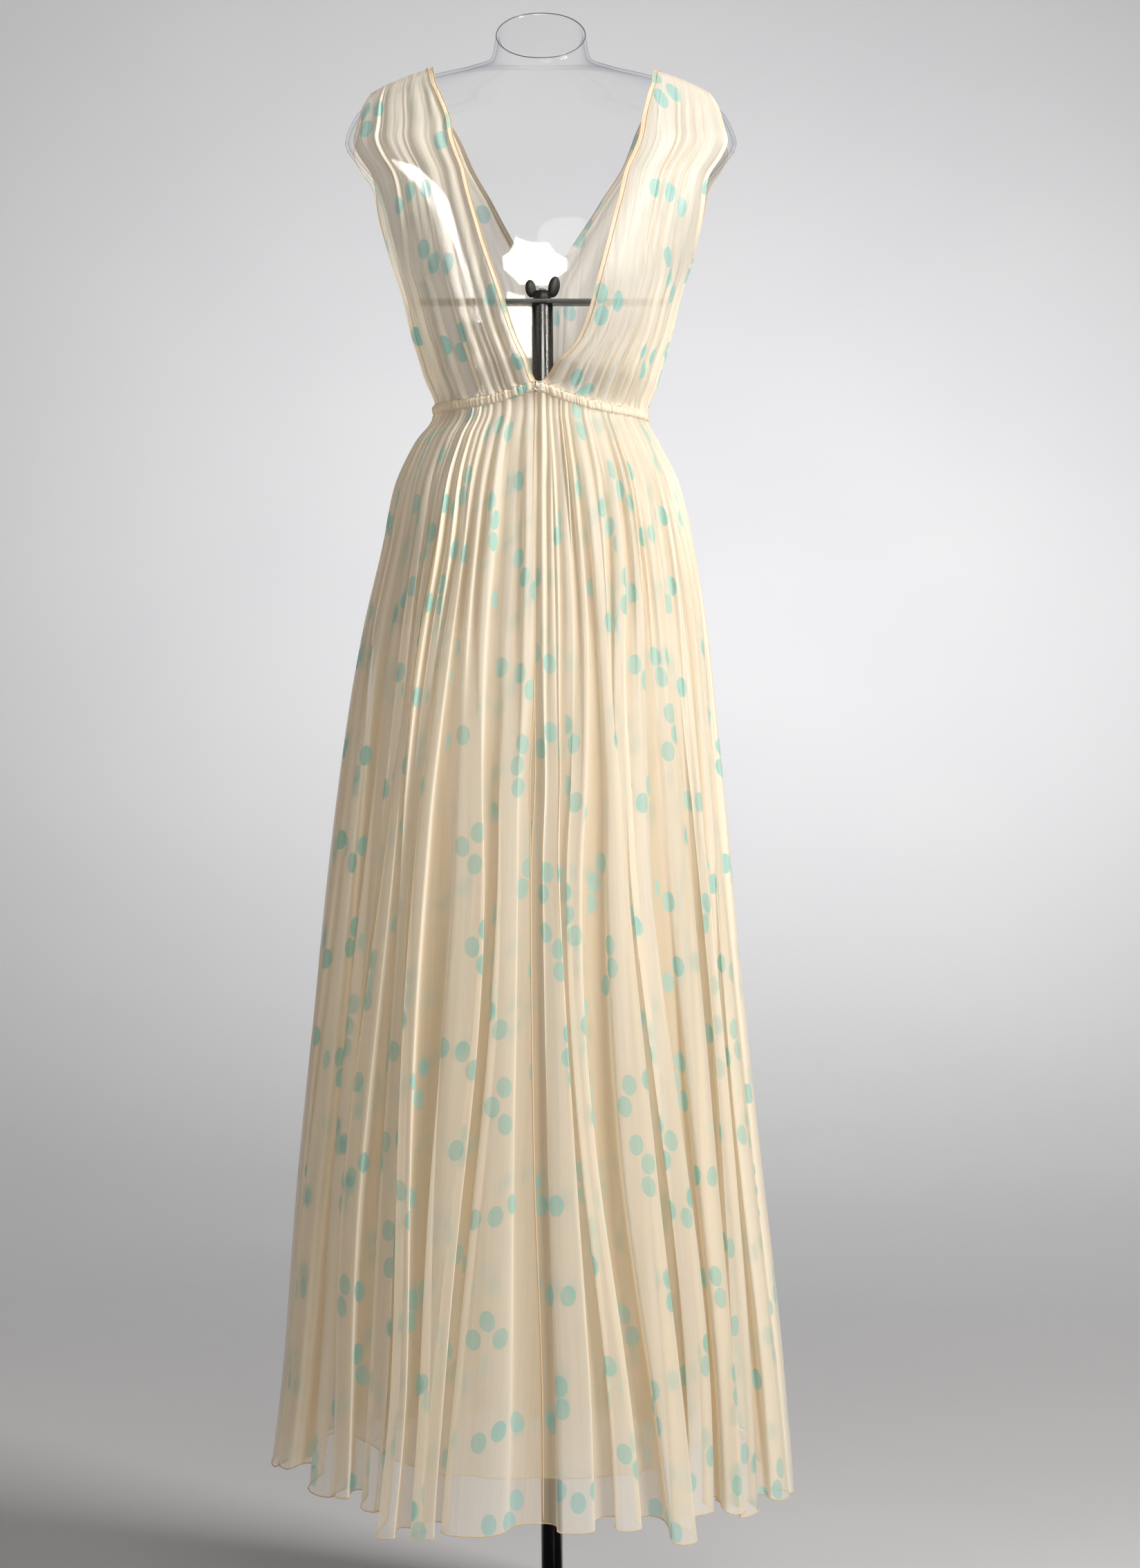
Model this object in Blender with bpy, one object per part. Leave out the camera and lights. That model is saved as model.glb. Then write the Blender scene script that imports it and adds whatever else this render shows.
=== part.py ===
"""A sleeveless chiffon dress on a clear dress form that a pole and a round foot hold up.

Metres, +Z up. The front faces -Y and +X is on the viewer's right. The origin lies
under the middle of the foot. Angles go round the body from the centre front (0)
over the right side (90) and the centre back (180) to the left side (270).
"""

from collections import namedtuple
from math import asin, copysign, cos, exp, pi, radians, sin

import bmesh
import bpy
from mathutils import Vector

MM = 0.001

# Walls and the gaps between the pieces
CLOTH = 1.2 * MM
FORM_WALL = 3.0 * MM
SEAM = 0.3 * MM
WAIST_SEAM = 0.5 * MM
SKIN_GAP = 0.8 * MM
LAYER_GAP = 0.8 * MM

# The waist seam: level behind, a touch lower on the right, rising to a point in front
WAIST_HEIGHT = 1.2855
WAIST_TILT = 0.035
WAIST_PEAK = 18.5 * MM
WAIST_PEAK_WIDTH = 36 * MM
CASING_HEIGHT = 8 * MM
CASING_DEPTH = 5.4 * MM
CASING_INSIDE = 2.2 * MM
CASING_RUCHE = 0.5 * MM
CENTRE_FRONT = -3 * MM
CASING_COLUMNS_A_DEGREE = 0.38

# The skirt
HEM_HEIGHT = 0.205
FOLD_DEPTH = 0.25
GATHER_DEPTH = 2.2 * MM
SKIRT_ABOVE_FORM = 7.2 * MM
SKIRT_ROWS = (0.0, 0.03, 0.08, 0.18, 0.36, 0.60, 0.82, 1.0)
COLUMNS_A_FOLD = 6
SLIT_HEIGHT = 0.90
SLIT_REACH = 0.055
SLIT_GAP = 5 * MM

# The underskirt
UNDER_HEM = 0.236
UNDER_HEM_RISE = 0.050
UNDER_FOLDS = 12
UNDER_COLUMNS_A_FOLD = 5
UNDER_WAVE = 5 * MM
VALLEY_MARGIN = 3 * MM
UNDER_ROWS = (0.0, 0.03, 0.08, 0.18, 0.40, 0.70, 1.0)

# The bodice
FRONT_FOLDS = 8
BACK_FOLDS = 7
BODICE_COLUMNS_A_FOLD = 4
BODICE_FOLD = 1.1 * MM
BODICE_GATHER = 1.3 * MM
SHOULDER_LIFT = 5 * MM
SIDE_SEAM_TURN = 0.08
NARROW_SEAM_TURN = 0.1

# The form, its plate and the stand
SQUARENESS = 2.2
FORM_COLUMNS = 28
NECK_SLANT = 33 * MM
PLATE_TOP = 1.4035
PLATE_THICK = 4 * MM
PLATE_DEPTH = 28 * MM
PLATE_HALF = 131.55 * MM
PLATE_CORNER = 130.0 * MM
POLE_FOOT_X = 12.5 * MM
POLE_LEAN = -0.0078
POLE_RADIUS = 11 * MM
STUD_RADIUS = 4 * MM
STUD_ABOVE_PLATE = 12.5 * MM
FOOT_RADIUS = 165 * MM
FOOT_THICK = 9 * MM
COLLAR_RADIUS = 19 * MM
COLLAR_HEIGHT = 32 * MM

Section = namedtuple("Section", "height half_width front back")

# The form's outer surface, from the neck's rim to its open bottom
FORM = (
    Section(1.676, 0.0458, 0.0460, 0.0460),
    Section(1.652, 0.0510, 0.0495, 0.0520),
    Section(1.645, 0.0700, 0.0520, 0.0580),
    Section(1.634, 0.1080, 0.0570, 0.0660),
    Section(1.621, 0.1470, 0.0625, 0.0740),
    Section(1.607, 0.1735, 0.0680, 0.0815),
    Section(1.590, 0.1910, 0.0745, 0.0895),
    Section(1.563, 0.2010, 0.0845, 0.0990),
    Section(1.543, 0.1885, 0.0910, 0.1035),
    Section(1.520, 0.1700, 0.0985, 0.1060),
    Section(1.465, 0.1545, 0.1180, 0.1075),
    Section(1.410, 0.1390, 0.1270, 0.1020),
    Section(1.350, 0.1180, 0.1080, 0.0880),
    Section(1.318, 0.1085, 0.0930, 0.0810),
    Section(1.303, 0.1055, 0.0870, 0.0780),
    Section(1.285, 0.1040, 0.0830, 0.0760),
    Section(1.257, 0.1075, 0.0845, 0.0785),
    Section(1.215, 0.1220, 0.0920, 0.0910),
    Section(1.155, 0.1390, 0.1030, 0.1110),
    Section(1.070, 0.1500, 0.1120, 0.1240),
)

Ease = namedtuple("Ease", "height side front back")

# How far outside the form the bodice's folds stand at each height
BODICE_EASE = (
    Ease(1.6500, 0.0050, 0.0045, 0.0045),
    Ease(1.5800, 0.0050, 0.0050, 0.0050),
    Ease(1.5450, 0.0110, 0.0060, 0.0055),
    Ease(1.5040, 0.0130, 0.0075, 0.0065),
    Ease(1.4620, 0.0105, 0.0075, 0.0075),
    Ease(1.4090, 0.0085, 0.0075, 0.0085),
    Ease(1.3530, 0.0145, 0.0120, 0.0125),
    Ease(1.3210, 0.0145, 0.0155, 0.0155),
    Ease(1.3040, 0.0110, 0.0115, 0.0115),
    Ease(1.2910, 0.0072, 0.0072, 0.0072),
)

Outline = namedtuple("Outline", "height left right front back")

# The outer skirt's reach to each side at each height, over the tops of its folds
SKIRT = (
    Outline(1.300, 0.1105, 0.1105, 0.0900, 0.0830),
    Outline(1.282, 0.1120, 0.1110, 0.0910, 0.0845),
    Outline(1.2577, 0.1300, 0.1225, 0.0985, 0.0935),
    Outline(1.213, 0.1527, 0.1455, 0.1150, 0.1150),
    Outline(1.140, 0.1720, 0.1660, 0.1350, 0.1400),
    Outline(1.069, 0.1890, 0.1775, 0.1480, 0.1550),
    Outline(0.980, 0.2040, 0.1870, 0.1640, 0.1700),
    Outline(0.860, 0.2187, 0.1995, 0.1840, 0.1880),
    Outline(0.700, 0.2357, 0.2150, 0.2110, 0.2130),
    Outline(0.500, 0.2545, 0.2345, 0.2400, 0.2420),
    Outline(0.316, 0.2670, 0.2528, 0.2610, 0.2620),
    Outline(0.180, 0.2830, 0.2640, 0.2740, 0.2740),
)

Fold = namedtuple("Fold", "piece width depth inset lean drop")

# The skirt's folds, once round from the centre front: degrees wide, how deep for
# its width, how far its ridge lies inside the outline, how far the ridge leans
# over, and how far the hem drops there
FOLDS = (
    Fold("skirt_front_right", 7, 0.8, 3, 0.10, 6),
    Fold("skirt_front_right", 8, 0.9, 0, -0.12, 0),
    Fold("skirt_front_right", 13, 1.0, 0, 0.18, 19),
    Fold("skirt_front_right", 10, 0.8, 4, -0.10, -3),
    Fold("skirt_front_right", 12, 1.0, 1, 0.15, -2),
    Fold("skirt_front_right", 12, 0.9, 3, -0.15, 7),
    Fold("skirt_front_right", 14, 1.1, 0, 0.10, 5),
    Fold("skirt_front_right", 14, 0.8, 1, -0.08, 8),
    Fold("skirt_back", 14, 1.0, 0, 0.12, -12),
    Fold("skirt_back", 11, 0.9, 4, -0.10, -20),
    Fold("skirt_back", 14, 1.0, 1, 0.16, -8),
    Fold("skirt_back", 12, 0.8, 3, -0.14, -15),
    Fold("skirt_back", 15, 1.1, 0, 0.10, -4),
    Fold("skirt_back", 11, 0.9, 5, -0.12, -10),
    Fold("skirt_back", 13, 1.0, 1, 0.14, 0),
    Fold("skirt_back", 12, 0.8, 2, 0.10, -6),
    Fold("skirt_back", 14, 1.0, 0, -0.15, -12),
    Fold("skirt_back", 12, 0.9, 4, 0.12, -4),
    Fold("skirt_back", 13, 1.1, 1, -0.10, -14),
    Fold("skirt_back", 12, 0.8, 3, 0.14, -8),
    Fold("skirt_back", 13, 1.0, 0, -0.12, -16),
    Fold("skirt_back", 14, 0.9, 1, 0.10, -22),
    Fold("skirt_front_left", 16, 0.9, 0, 0.10, -25),
    Fold("skirt_front_left", 16, 1.0, 2, -0.12, -27),
    Fold("skirt_front_left", 12, 0.9, 4, 0.14, -14),
    Fold("skirt_front_left", 8.5, 0.8, 1, -0.10, -16),
    Fold("skirt_front_left", 7.5, 0.8, 5, 0.12, -9),
    Fold("skirt_front_left", 7, 0.8, 0, -0.10, 17),
    Fold("skirt_front_left", 13, 1.0, 1, 0.15, 13),
    Fold("skirt_front_left", 10, 0.9, 2, -0.08, 7),
)

Column = namedtuple("Column", "piece angle phase width depth inset lean drop")
Path = namedtuple("Path", "height x")

# Where the two fronts meet, from the waist to the hem
SLIT = (
    Path(1.310, -0.0030),
    Path(0.970, -0.0055),
    Path(0.820, -0.0085),
    Path(0.550, -0.0050),
    Path(0.300, 0.0040),
    Path(0.150, 0.0050),
)

Edges = namedtuple("Edges", "neck_height neck_x arm_height arm_angle")

# Each bodice half from the shoulder down to the waist: its edge at the neckline,
# and its edge at the armhole and then at the side seam. The first row lies along
# the shoulder's ridge, and the last row meets the casing.
RIDGE = 1.0
FRONT_RIGHT = (
    Edges(1.6378, RIDGE, 1.6150, 90),
    Edges(1.6360, 0.1172, 1.6146, 85),
    Edges(1.6285, 0.1140, 1.6135, 80),
    Edges(1.6000, 0.1080, 1.6000, 70),
    Edges(1.5577, 0.1000, 1.5650, 66),
    Edges(1.5120, 0.0835, 1.5200, 66),
    Edges(1.4396, 0.0664, 1.4700, 76),
    Edges(1.3904, 0.0545, 1.4250, 90),
    Edges(1.3480, 0.0390, 1.3700, 90),
    Edges(1.3250, 0.0180, 1.3250, 90),
    Edges(1.3080, CENTRE_FRONT + SEAM, 1.2910, 90),
)
FRONT_LEFT = (
    Edges(1.6395, RIDGE, 1.6150, 90),
    Edges(1.6375, 0.1105, 1.6146, 85),
    Edges(1.6285, 0.1080, 1.6135, 80),
    Edges(1.6000, 0.0990, 1.6000, 70),
    Edges(1.5660, 0.0890, 1.5650, 66),
    Edges(1.5030, 0.0716, 1.5200, 66),
    Edges(1.4450, 0.0554, 1.4700, 76),
    Edges(1.3950, 0.0390, 1.4250, 90),
    Edges(1.3520, 0.0250, 1.3700, 90),
    Edges(1.3280, 0.0140, 1.3250, 90),
    Edges(1.3080, -CENTRE_FRONT + SEAM, 1.2910, 90),
)
BACK_RIGHT = (
    Edges(1.6378, RIDGE, 1.6150, 90),
    Edges(1.6360, 0.1172, 1.6146, 86),
    Edges(1.6285, 0.1150, 1.6135, 82),
    Edges(1.6000, 0.1040, 1.6000, 74),
    Edges(1.5706, 0.0920, 1.5650, 70),
    Edges(1.5200, 0.0620, 1.5200, 70),
    Edges(1.4706, 0.0290, 1.4700, 78),
    Edges(1.4210, SEAM, 1.4250, 90),
    Edges(1.3650, SEAM, 1.3700, 90),
    Edges(1.3250, SEAM, 1.3250, 90),
    Edges(1.2910, SEAM, 1.2910, 90),
)
BACK_LEFT = (
    Edges(1.6395, RIDGE, 1.6150, 90),
    Edges(1.6375, 0.1105, 1.6146, 86),
    Edges(1.6285, 0.1080, 1.6135, 82),
    Edges(1.6000, 0.0950, 1.6000, 74),
    Edges(1.5700, 0.0790, 1.5650, 70),
    Edges(1.5200, 0.0520, 1.5200, 70),
    Edges(1.4706, 0.0250, 1.4700, 78),
    Edges(1.4210, SEAM, 1.4250, 90),
    Edges(1.3650, SEAM, 1.3700, 90),
    Edges(1.3250, SEAM, 1.3250, 90),
    Edges(1.2910, SEAM, 1.2910, 90),
)


def at_height(table, column, height):
    """A column of a table at this height, on a smooth curve that never overshoots its rows."""
    rows = sorted(table)
    heights = [row.height for row in rows]
    values = [getattr(row, column) for row in rows]
    if height <= heights[0]:
        return values[0]
    if height >= heights[-1]:
        return values[-1]
    slopes = [
        (values[i + 1] - values[i]) / (heights[i + 1] - heights[i]) for i in range(len(rows) - 1)
    ]
    i = sum(level <= height for level in heights) - 1

    def tangent(k):
        if k == 0 or k == len(rows) - 1:
            return slopes[min(k, len(slopes) - 1)]
        before, after = slopes[k - 1], slopes[k]
        return 0.0 if before * after <= 0 else 2 * before * after / (before + after)

    gap = heights[i + 1] - heights[i]
    t = (height - heights[i]) / gap
    start = (1 + 2 * t) * (1 - t) ** 2 * values[i] + t * (1 - t) ** 2 * gap * tangent(i)
    end = t * t * (3 - 2 * t) * values[i + 1] + t * t * (t - 1) * gap * tangent(i + 1)
    return start + end


def ramp(value, low, high):
    """0 up to low, 1 from high on, and a smooth rise between them."""
    t = min(max((value - low) / (high - low), 0.0), 1.0)
    return t * t * (3 - 2 * t)


def section_point(angle, right, left, front, back, height):
    """A point of a rounded section, at an angle in degrees from the centre front."""
    across, ahead = sin(radians(angle)), cos(radians(angle))
    half_width = right if across > 0 else left
    depth = front if ahead > 0 else back
    power = 2 / SQUARENESS
    x = copysign(abs(across) ** power, across) * half_width
    y = -copysign(abs(ahead) ** power, ahead) * depth
    return Vector((x, y, height))


def angle_at(x, half_width):
    """The angle from the centre front or back at which a section is this far across."""
    share = min(max(x / half_width, -1.0), 1.0)
    return copysign(asin(abs(share) ** (SQUARENESS / 2)) * 180 / pi, x)


def form_reach(height):
    return [at_height(FORM, column, height) for column in ("half_width", "front", "back")]


def form_point(angle, height, outside=0.0):
    half_width, front, back = (reach + outside for reach in form_reach(height))
    return section_point(angle, half_width, half_width, front, back, height)


def waist_height(angle):
    """The height of the waist seam's middle."""
    half_width = at_height(FORM, "half_width", WAIST_HEIGHT)
    x = half_width * sin(radians(angle))
    rise = WAIST_PEAK * exp(-((abs(x - CENTRE_FRONT) / WAIST_PEAK_WIDTH) ** 1.3))
    return WAIST_HEIGHT - WAIST_TILT * x + rise * max(cos(radians(angle)), 0.0)


def bodice_point(angle, height):
    """The bodice's surface over the tops of its folds. On the shoulders it is the form's, lifted."""
    raised = waist_height(angle) - WAIST_HEIGHT
    eased = height - raised * (1 - ramp(height, 1.31, 1.37))
    half_width, front, back = form_reach(height - SHOULDER_LIFT * ramp(height, 1.54, 1.59))
    half_width += at_height(BODICE_EASE, "side", eased)
    front += at_height(BODICE_EASE, "front", eased)
    back += at_height(BODICE_EASE, "back", eased)
    return section_point(angle, half_width, half_width, front, back, height)


def skirt_reach(height):
    """The outer skirt's reach to the right, left, front and back, never inside the form's."""
    half_width, front, back = (reach + SKIRT_ABOVE_FORM for reach in form_reach(height))
    near_form = (half_width, half_width, front, back)
    outline = [at_height(SKIRT, side, height) for side in ("right", "left", "front", "back")]
    if height < FORM[-1].height:
        return outline
    return [max(pair) for pair in zip(outline, near_form)]


def gather_depth(share):
    """Half the depth of the waist gathers, at a share of the way down the skirt."""
    return GATHER_DEPTH * (0.6 + 0.4 * ramp(share, 0.0, 0.06)) * (1 - ramp(share, 0.10, 0.42))


def fold_share(share):
    """How much of its full depth a fold has, at a share of the way down the skirt."""
    return 0.9 * ramp(share, -0.05, 0.75) * min(share * 3, 1.0) + 0.1 * share


def outward(point_at, angle):
    """The level direction out of a surface that is given round the body."""
    step = point_at(angle + 0.5) - point_at(angle - 0.5)
    return Vector((-step.y, step.x, 0)).normalized() * -1


def out_of(surface, angle, height):
    """The direction straight out of a surface that is given by angle and height."""
    round_it = surface(angle + 0.5, height) - surface(angle - 0.5, height)
    up_it = surface(angle, height + 0.5 * MM) - surface(angle, height - 0.5 * MM)
    return round_it.cross(up_it).normalized()


def wall(name, grid, thickness, colour, round_body=False, flat=()):
    """A closed wall from its outer points, row by row. flat names the axis that the wall keeps
    level with at its first column, last column and first row, where it meets a neighbour."""
    rows, columns = len(grid), len(grid[0])
    normals = []
    for i in range(rows):
        normals.append([])
        for j in range(columns):
            before, after = max(j - 1, 0), min(j + 1, columns - 1)
            if round_body:
                before, after = (j - 1) % columns, (j + 1) % columns
            along = grid[i][after] - grid[i][before]
            down = grid[min(i + 1, rows - 1)][j] - grid[max(i - 1, 0)][j]
            normal = along.cross(down).normalized() * -1
            edges = dict(zip(("first", "last", "top"), flat))
            for edge, here in (("first", j == 0), ("last", j == columns - 1), ("top", i == 0)):
                if here and edges.get(edge):
                    normal["xyz".index(edges[edge])] = 0
                    normal.normalize()
            normals[i].append(normal)
    mesh = bmesh.new()
    outer = [[mesh.verts.new(point) for point in row] for row in grid]
    inner = [
        [mesh.verts.new(grid[i][j] - normals[i][j] * thickness) for j in range(columns)]
        for i in range(rows)
    ]
    last = columns if round_body else columns - 1
    for j in range(last):
        k = (j + 1) % columns
        for i in range(rows - 1):
            mesh.faces.new((outer[i][j], outer[i][k], outer[i + 1][k], outer[i + 1][j]))
            mesh.faces.new((inner[i][j], inner[i + 1][j], inner[i + 1][k], inner[i][k]))
        mesh.faces.new((outer[0][j], inner[0][j], inner[0][k], outer[0][k]))
        mesh.faces.new((outer[-1][j], outer[-1][k], inner[-1][k], inner[-1][j]))
    if not round_body:
        for i in range(rows - 1):
            mesh.faces.new((outer[i][0], outer[i + 1][0], inner[i + 1][0], inner[i][0]))
            mesh.faces.new((outer[i][-1], inner[i][-1], inner[i + 1][-1], outer[i + 1][-1]))
    return finished(name, mesh, colour)


def finished(name, mesh, colour):
    bmesh.ops.recalc_face_normals(mesh, faces=mesh.faces)
    data = bpy.data.meshes.new(name)
    mesh.to_mesh(data)
    mesh.free()
    data.shade_smooth()
    data.set_sharp_from_angle(angle=radians(40))
    data.materials.append(colour)
    obj = bpy.data.objects.new(name, data)
    bpy.context.scene.collection.objects.link(obj)
    return obj


def stand_x(height):
    """Where the stand's axis is at this height: the pole leans half a degree to the left."""
    return POLE_FOOT_X + POLE_LEAN * height


def turned(name, profile, colour, segments):
    """A solid turned about the stand's axis. The profile is a closed ring of (radius, height)."""
    mesh = bmesh.new()
    rings = []
    for radius, height in profile:
        centre_x = stand_x(height)
        if radius == 0:
            rings.append([mesh.verts.new((centre_x, 0, height))])
            continue
        turns = (2 * pi * k / segments for k in range(segments))
        rings.append(
            [mesh.verts.new((centre_x + radius * cos(t), radius * sin(t), height)) for t in turns]
        )
    for ring, following in zip(rings, rings[1:] + rings[:1]):
        if len(ring) == 1 and len(following) == 1:
            continue
        for k in range(segments):
            n = (k + 1) % segments
            corners = [ring[k % len(ring)], ring[n % len(ring)]]
            corners += [following[n % len(following)], following[k % len(following)]]
            mesh.faces.new(list(dict.fromkeys(corners)))
    return finished(name, mesh, colour)


def extruded(name, outline, colour, near, far):
    """A solid from a closed outline of (x, z) points, from near to far in y."""
    mesh = bmesh.new()
    front = [mesh.verts.new((x, near, z)) for x, z in outline]
    behind = [mesh.verts.new((x, far, z)) for x, z in outline]
    mesh.faces.new(front)
    mesh.faces.new(behind[::-1])
    for k in range(len(outline)):
        n = (k + 1) % len(outline)
        mesh.faces.new((front[k], front[n], behind[n], behind[k]))
    return finished(name, mesh, colour)


def combine(obj, tool, operation):
    """Joins a helper to the object, or cuts it away, and hides the helper."""
    cut = obj.modifiers.new(operation.lower(), "BOOLEAN")
    cut.operation = operation
    cut.object = tool
    tool.hide_render = True
    tool.display_type = "WIRE"


def material(name, rgb, roughness, metallic=0.0, alpha=1.0):
    made = bpy.data.materials.new(name)
    made.use_nodes = True
    shader = made.node_tree.nodes["Principled BSDF"]
    shader.inputs["Base Color"].default_value = (*rgb, 1)
    shader.inputs["Roughness"].default_value = roughness
    shader.inputs["Metallic"].default_value = metallic
    shader.inputs["Alpha"].default_value = alpha
    return made


def make_form(clear):
    """The dress form: one open shell whose neck is cut on a slant, lower in front."""
    turns = [360 * k / FORM_COLUMNS for k in range(FORM_COLUMNS)]
    top, slant_end = FORM[0].height, 1.624
    grid = []
    for row in FORM:
        slant = NECK_SLANT * ramp(row.height, slant_end, top)
        points = [form_point(angle, row.height) for angle in turns]
        for angle, point in zip(turns, points):
            point.z -= slant * cos(radians(angle))
        grid.append(points)
    wall("form", grid, FORM_WALL, clear, round_body=True)


def bodice_half(name, edges, folds, facing, side, cloth):
    """One half of the bodice, from its neckline edge to its armhole and side seam.
    facing is 1 in front and -1 behind, and side is 1 on the right and -1 on the left."""
    columns = folds * BODICE_COLUMNS_A_FOLD
    rows = len(edges) - 1
    grid = []
    for i, edge in enumerate(edges):
        down = i / rows
        half_width = bodice_point(90, edge.neck_height).x
        neck_angle = min(angle_at(edge.neck_x, half_width), 90 - SIDE_SEAM_TURN)
        arm_angle = min(edge.arm_angle, 90 - SIDE_SEAM_TURN)
        points = []
        for j in range(columns + 1):
            across = j / columns
            angle = neck_angle + (arm_angle - neck_angle) * across
            height = edge.neck_height + (edge.arm_height - edge.neck_height) * across
            turn = side * (angle if facing == 1 else 180 - angle)
            if i == rows:
                height = waist_height(turn) + CASING_HEIGHT / 2 + WAIST_SEAM
            ridge = 0.5 - 0.5 * cos(2 * pi * across * folds)
            depth = BODICE_GATHER if i >= rows - 1 else BODICE_FOLD
            if 0.4 < down < 0.85:
                depth *= 1.4
            point = bodice_point(turn, height)
            points.append(point - out_of(bodice_point, turn, height) * 2 * depth * (1 - ridge))
        grid.append(points)
    if side * facing == -1:
        grid = [row[::-1] for row in grid]
    along_centre = "x" if facing == -1 else None
    edge_axes = (along_centre, "y") if side * facing == 1 else ("y", along_centre)
    wall(name, grid, CLOTH, cloth, flat=(*edge_axes, "y"))


def waist_casing(name, start, end, cloth):
    """A ruched band between two angles, flat above and below, that the cloth hangs from."""
    mesh = bmesh.new()
    columns = 2 * round((end - start) * CASING_COLUMNS_A_DEGREE / 2)
    rings = []
    for j in range(columns + 1):
        angle = start + (end - start) * j / columns
        ruche = CASING_RUCHE if j % 2 else 0
        middle = waist_height(angle)
        ring = []
        for up, out in ((1, 0), (1, 1), (-1, 1), (-1, 0)):
            height = middle + up * CASING_HEIGHT / 2
            outside = CASING_INSIDE + out * (CASING_DEPTH - ruche)
            ring.append(mesh.verts.new(form_point(angle, height, outside)))
        rings.append(ring)
    for ring, following in zip(rings, rings[1:]):
        for k in range(4):
            n = (k + 1) % 4
            mesh.faces.new((ring[k], ring[n], following[n], following[k]))
    mesh.faces.new(rings[0])
    mesh.faces.new(rings[-1][::-1])
    finished(name, mesh, cloth)


def slit_angle(height, side):
    """The angle of a front's centre edge, on the right (1) or on the left (-1)."""
    gap = SEAM + SLIT_GAP * exp(-(((height - SLIT_HEIGHT) / SLIT_REACH) ** 2))
    x = at_height(SLIT, "x", height) + side * gap / 2
    right, left = skirt_reach(height)[:2]
    return angle_at(x, right if x > 0 else left)


def skirt_columns():
    """The skirt's columns once round, each with its angle, its phase in the fold and the fold's sizes."""
    columns = []
    start = 0.0
    for number, fold in enumerate(FOLDS):
        before, after = FOLDS[number - 1], FOLDS[(number + 1) % len(FOLDS)]
        ends_piece = after.piece != fold.piece
        for j in range(COLUMNS_A_FOLD + ends_piece):
            part = j / COLUMNS_A_FOLD
            ridge = 0.5 - 0.5 * cos(2 * pi * part)
            other = before if part < 0.5 else after
            blended = [
                ridge * here + (1 - ridge) * (here + there) / 2
                for here, there in zip(fold[1:4] + fold[5:], other[1:4] + other[5:])
            ]
            width, depth, inset, drop = blended
            columns.append(
                Column(
                    fold.piece, start + fold.width * part, part, width, depth,
                    inset * MM * ridge, fold.lean * fold.width * ridge, drop * MM,
                )
            )
        start += fold.width
    return columns


def make_skirt(cloth):
    """The outer skirt's three pieces: fine gathers at the waist that run out into broad folds."""
    by_piece = {}
    for column in skirt_columns():
        by_piece.setdefault(column.piece, []).append(column)
    for piece, columns in by_piece.items():
        first, last = columns[0].angle, columns[-1].angle
        grid = []
        for share in SKIRT_ROWS:
            level = WAIST_HEIGHT + (HEM_HEIGHT - WAIST_HEIGHT) * share
            start = slit_angle(level, 1) if first == 0 else first + SIDE_SEAM_TURN
            end = 360 + slit_angle(level, -1) if last == 360 else last - SIDE_SEAM_TURN
            points = []
            for column in columns:
                across = (column.angle + column.lean * fold_share(share) - first) / (last - first)
                angle = start + (end - start) * across
                top = waist_height(angle) - CASING_HEIGHT / 2 - WAIST_SEAM
                height = top + (HEM_HEIGHT - column.drop - top) * share
                points.append(skirt_surface(angle, height, share, column))
            grid.append(points)
        axis_first = None if first == 0 else "y"
        axis_last = None if last == 360 else "y"
        wall(piece, grid, CLOTH, cloth, flat=(axis_first, axis_last))


def skirt_surface(angle, height, share, column):
    """A point of the outer skirt: the outline's surface, let in by the fold and the gathers."""
    right, left, front, back = skirt_reach(height)

    def around(turn):
        return section_point(turn, right, left, front, back, height)

    arc = radians(column.width) * (right + left + front + back) / 4
    fold = FOLD_DEPTH * column.depth * arc * fold_share(share)
    gathers = gather_depth(share)
    let_in = fold * (1 + cos(2 * pi * column.phase))
    let_in += gathers * (1 + cos(4 * pi * column.phase))
    let_in += column.inset * fold_share(share)
    return around(angle) - outward(around, angle) * let_in


def skirt_inside(share, height):
    """How far inside the outline the outer skirt's wall may reach, at a share of the way down."""
    deepest = max(fold.width * fold.depth for fold in FOLDS)
    arc = radians(deepest) * sum(skirt_reach(height)) / 4
    folds = (2 * FOLD_DEPTH * arc + VALLEY_MARGIN) * fold_share(share)
    return folds + 2 * gather_depth(share) + CLOTH


def make_underskirt(cloth):
    """The inner skirt: plainer waves inside the outer folds, and a shorter hem that rises at the sides."""
    columns = UNDER_FOLDS * UNDER_COLUMNS_A_FOLD
    grid = []
    for share in UNDER_ROWS:
        points = []
        for k in range(columns):
            angle = 360 * k / columns
            top = waist_height(angle) - CASING_HEIGHT / 2 - WAIST_SEAM
            height = top + (HEM_HEIGHT - top) * share
            if share == 1:
                height = UNDER_HEM + UNDER_HEM_RISE * sin(radians(angle)) ** 4
            inside = skirt_inside(share, height) + LAYER_GAP
            reach = [side - inside for side in skirt_reach(height)]
            least = SKIN_GAP + CLOTH
            near = form_reach(height)
            if height > FORM[-1].height:
                nearest = (near[0], near[0], near[1], near[2])
                reach = [max(side, skin + least) for side, skin in zip(reach, nearest)]

            def around(turn, sides=reach, level=height):
                return section_point(turn, *sides, level)

            wave = UNDER_WAVE * ramp(share, 0.10, 0.8) * (1 + cos(radians(angle) * UNDER_FOLDS))
            points.append(around(angle) - outward(around, angle) * wave)
        grid.append(points)
    wall("underskirt", grid, CLOTH, cloth, round_body=True)


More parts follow.
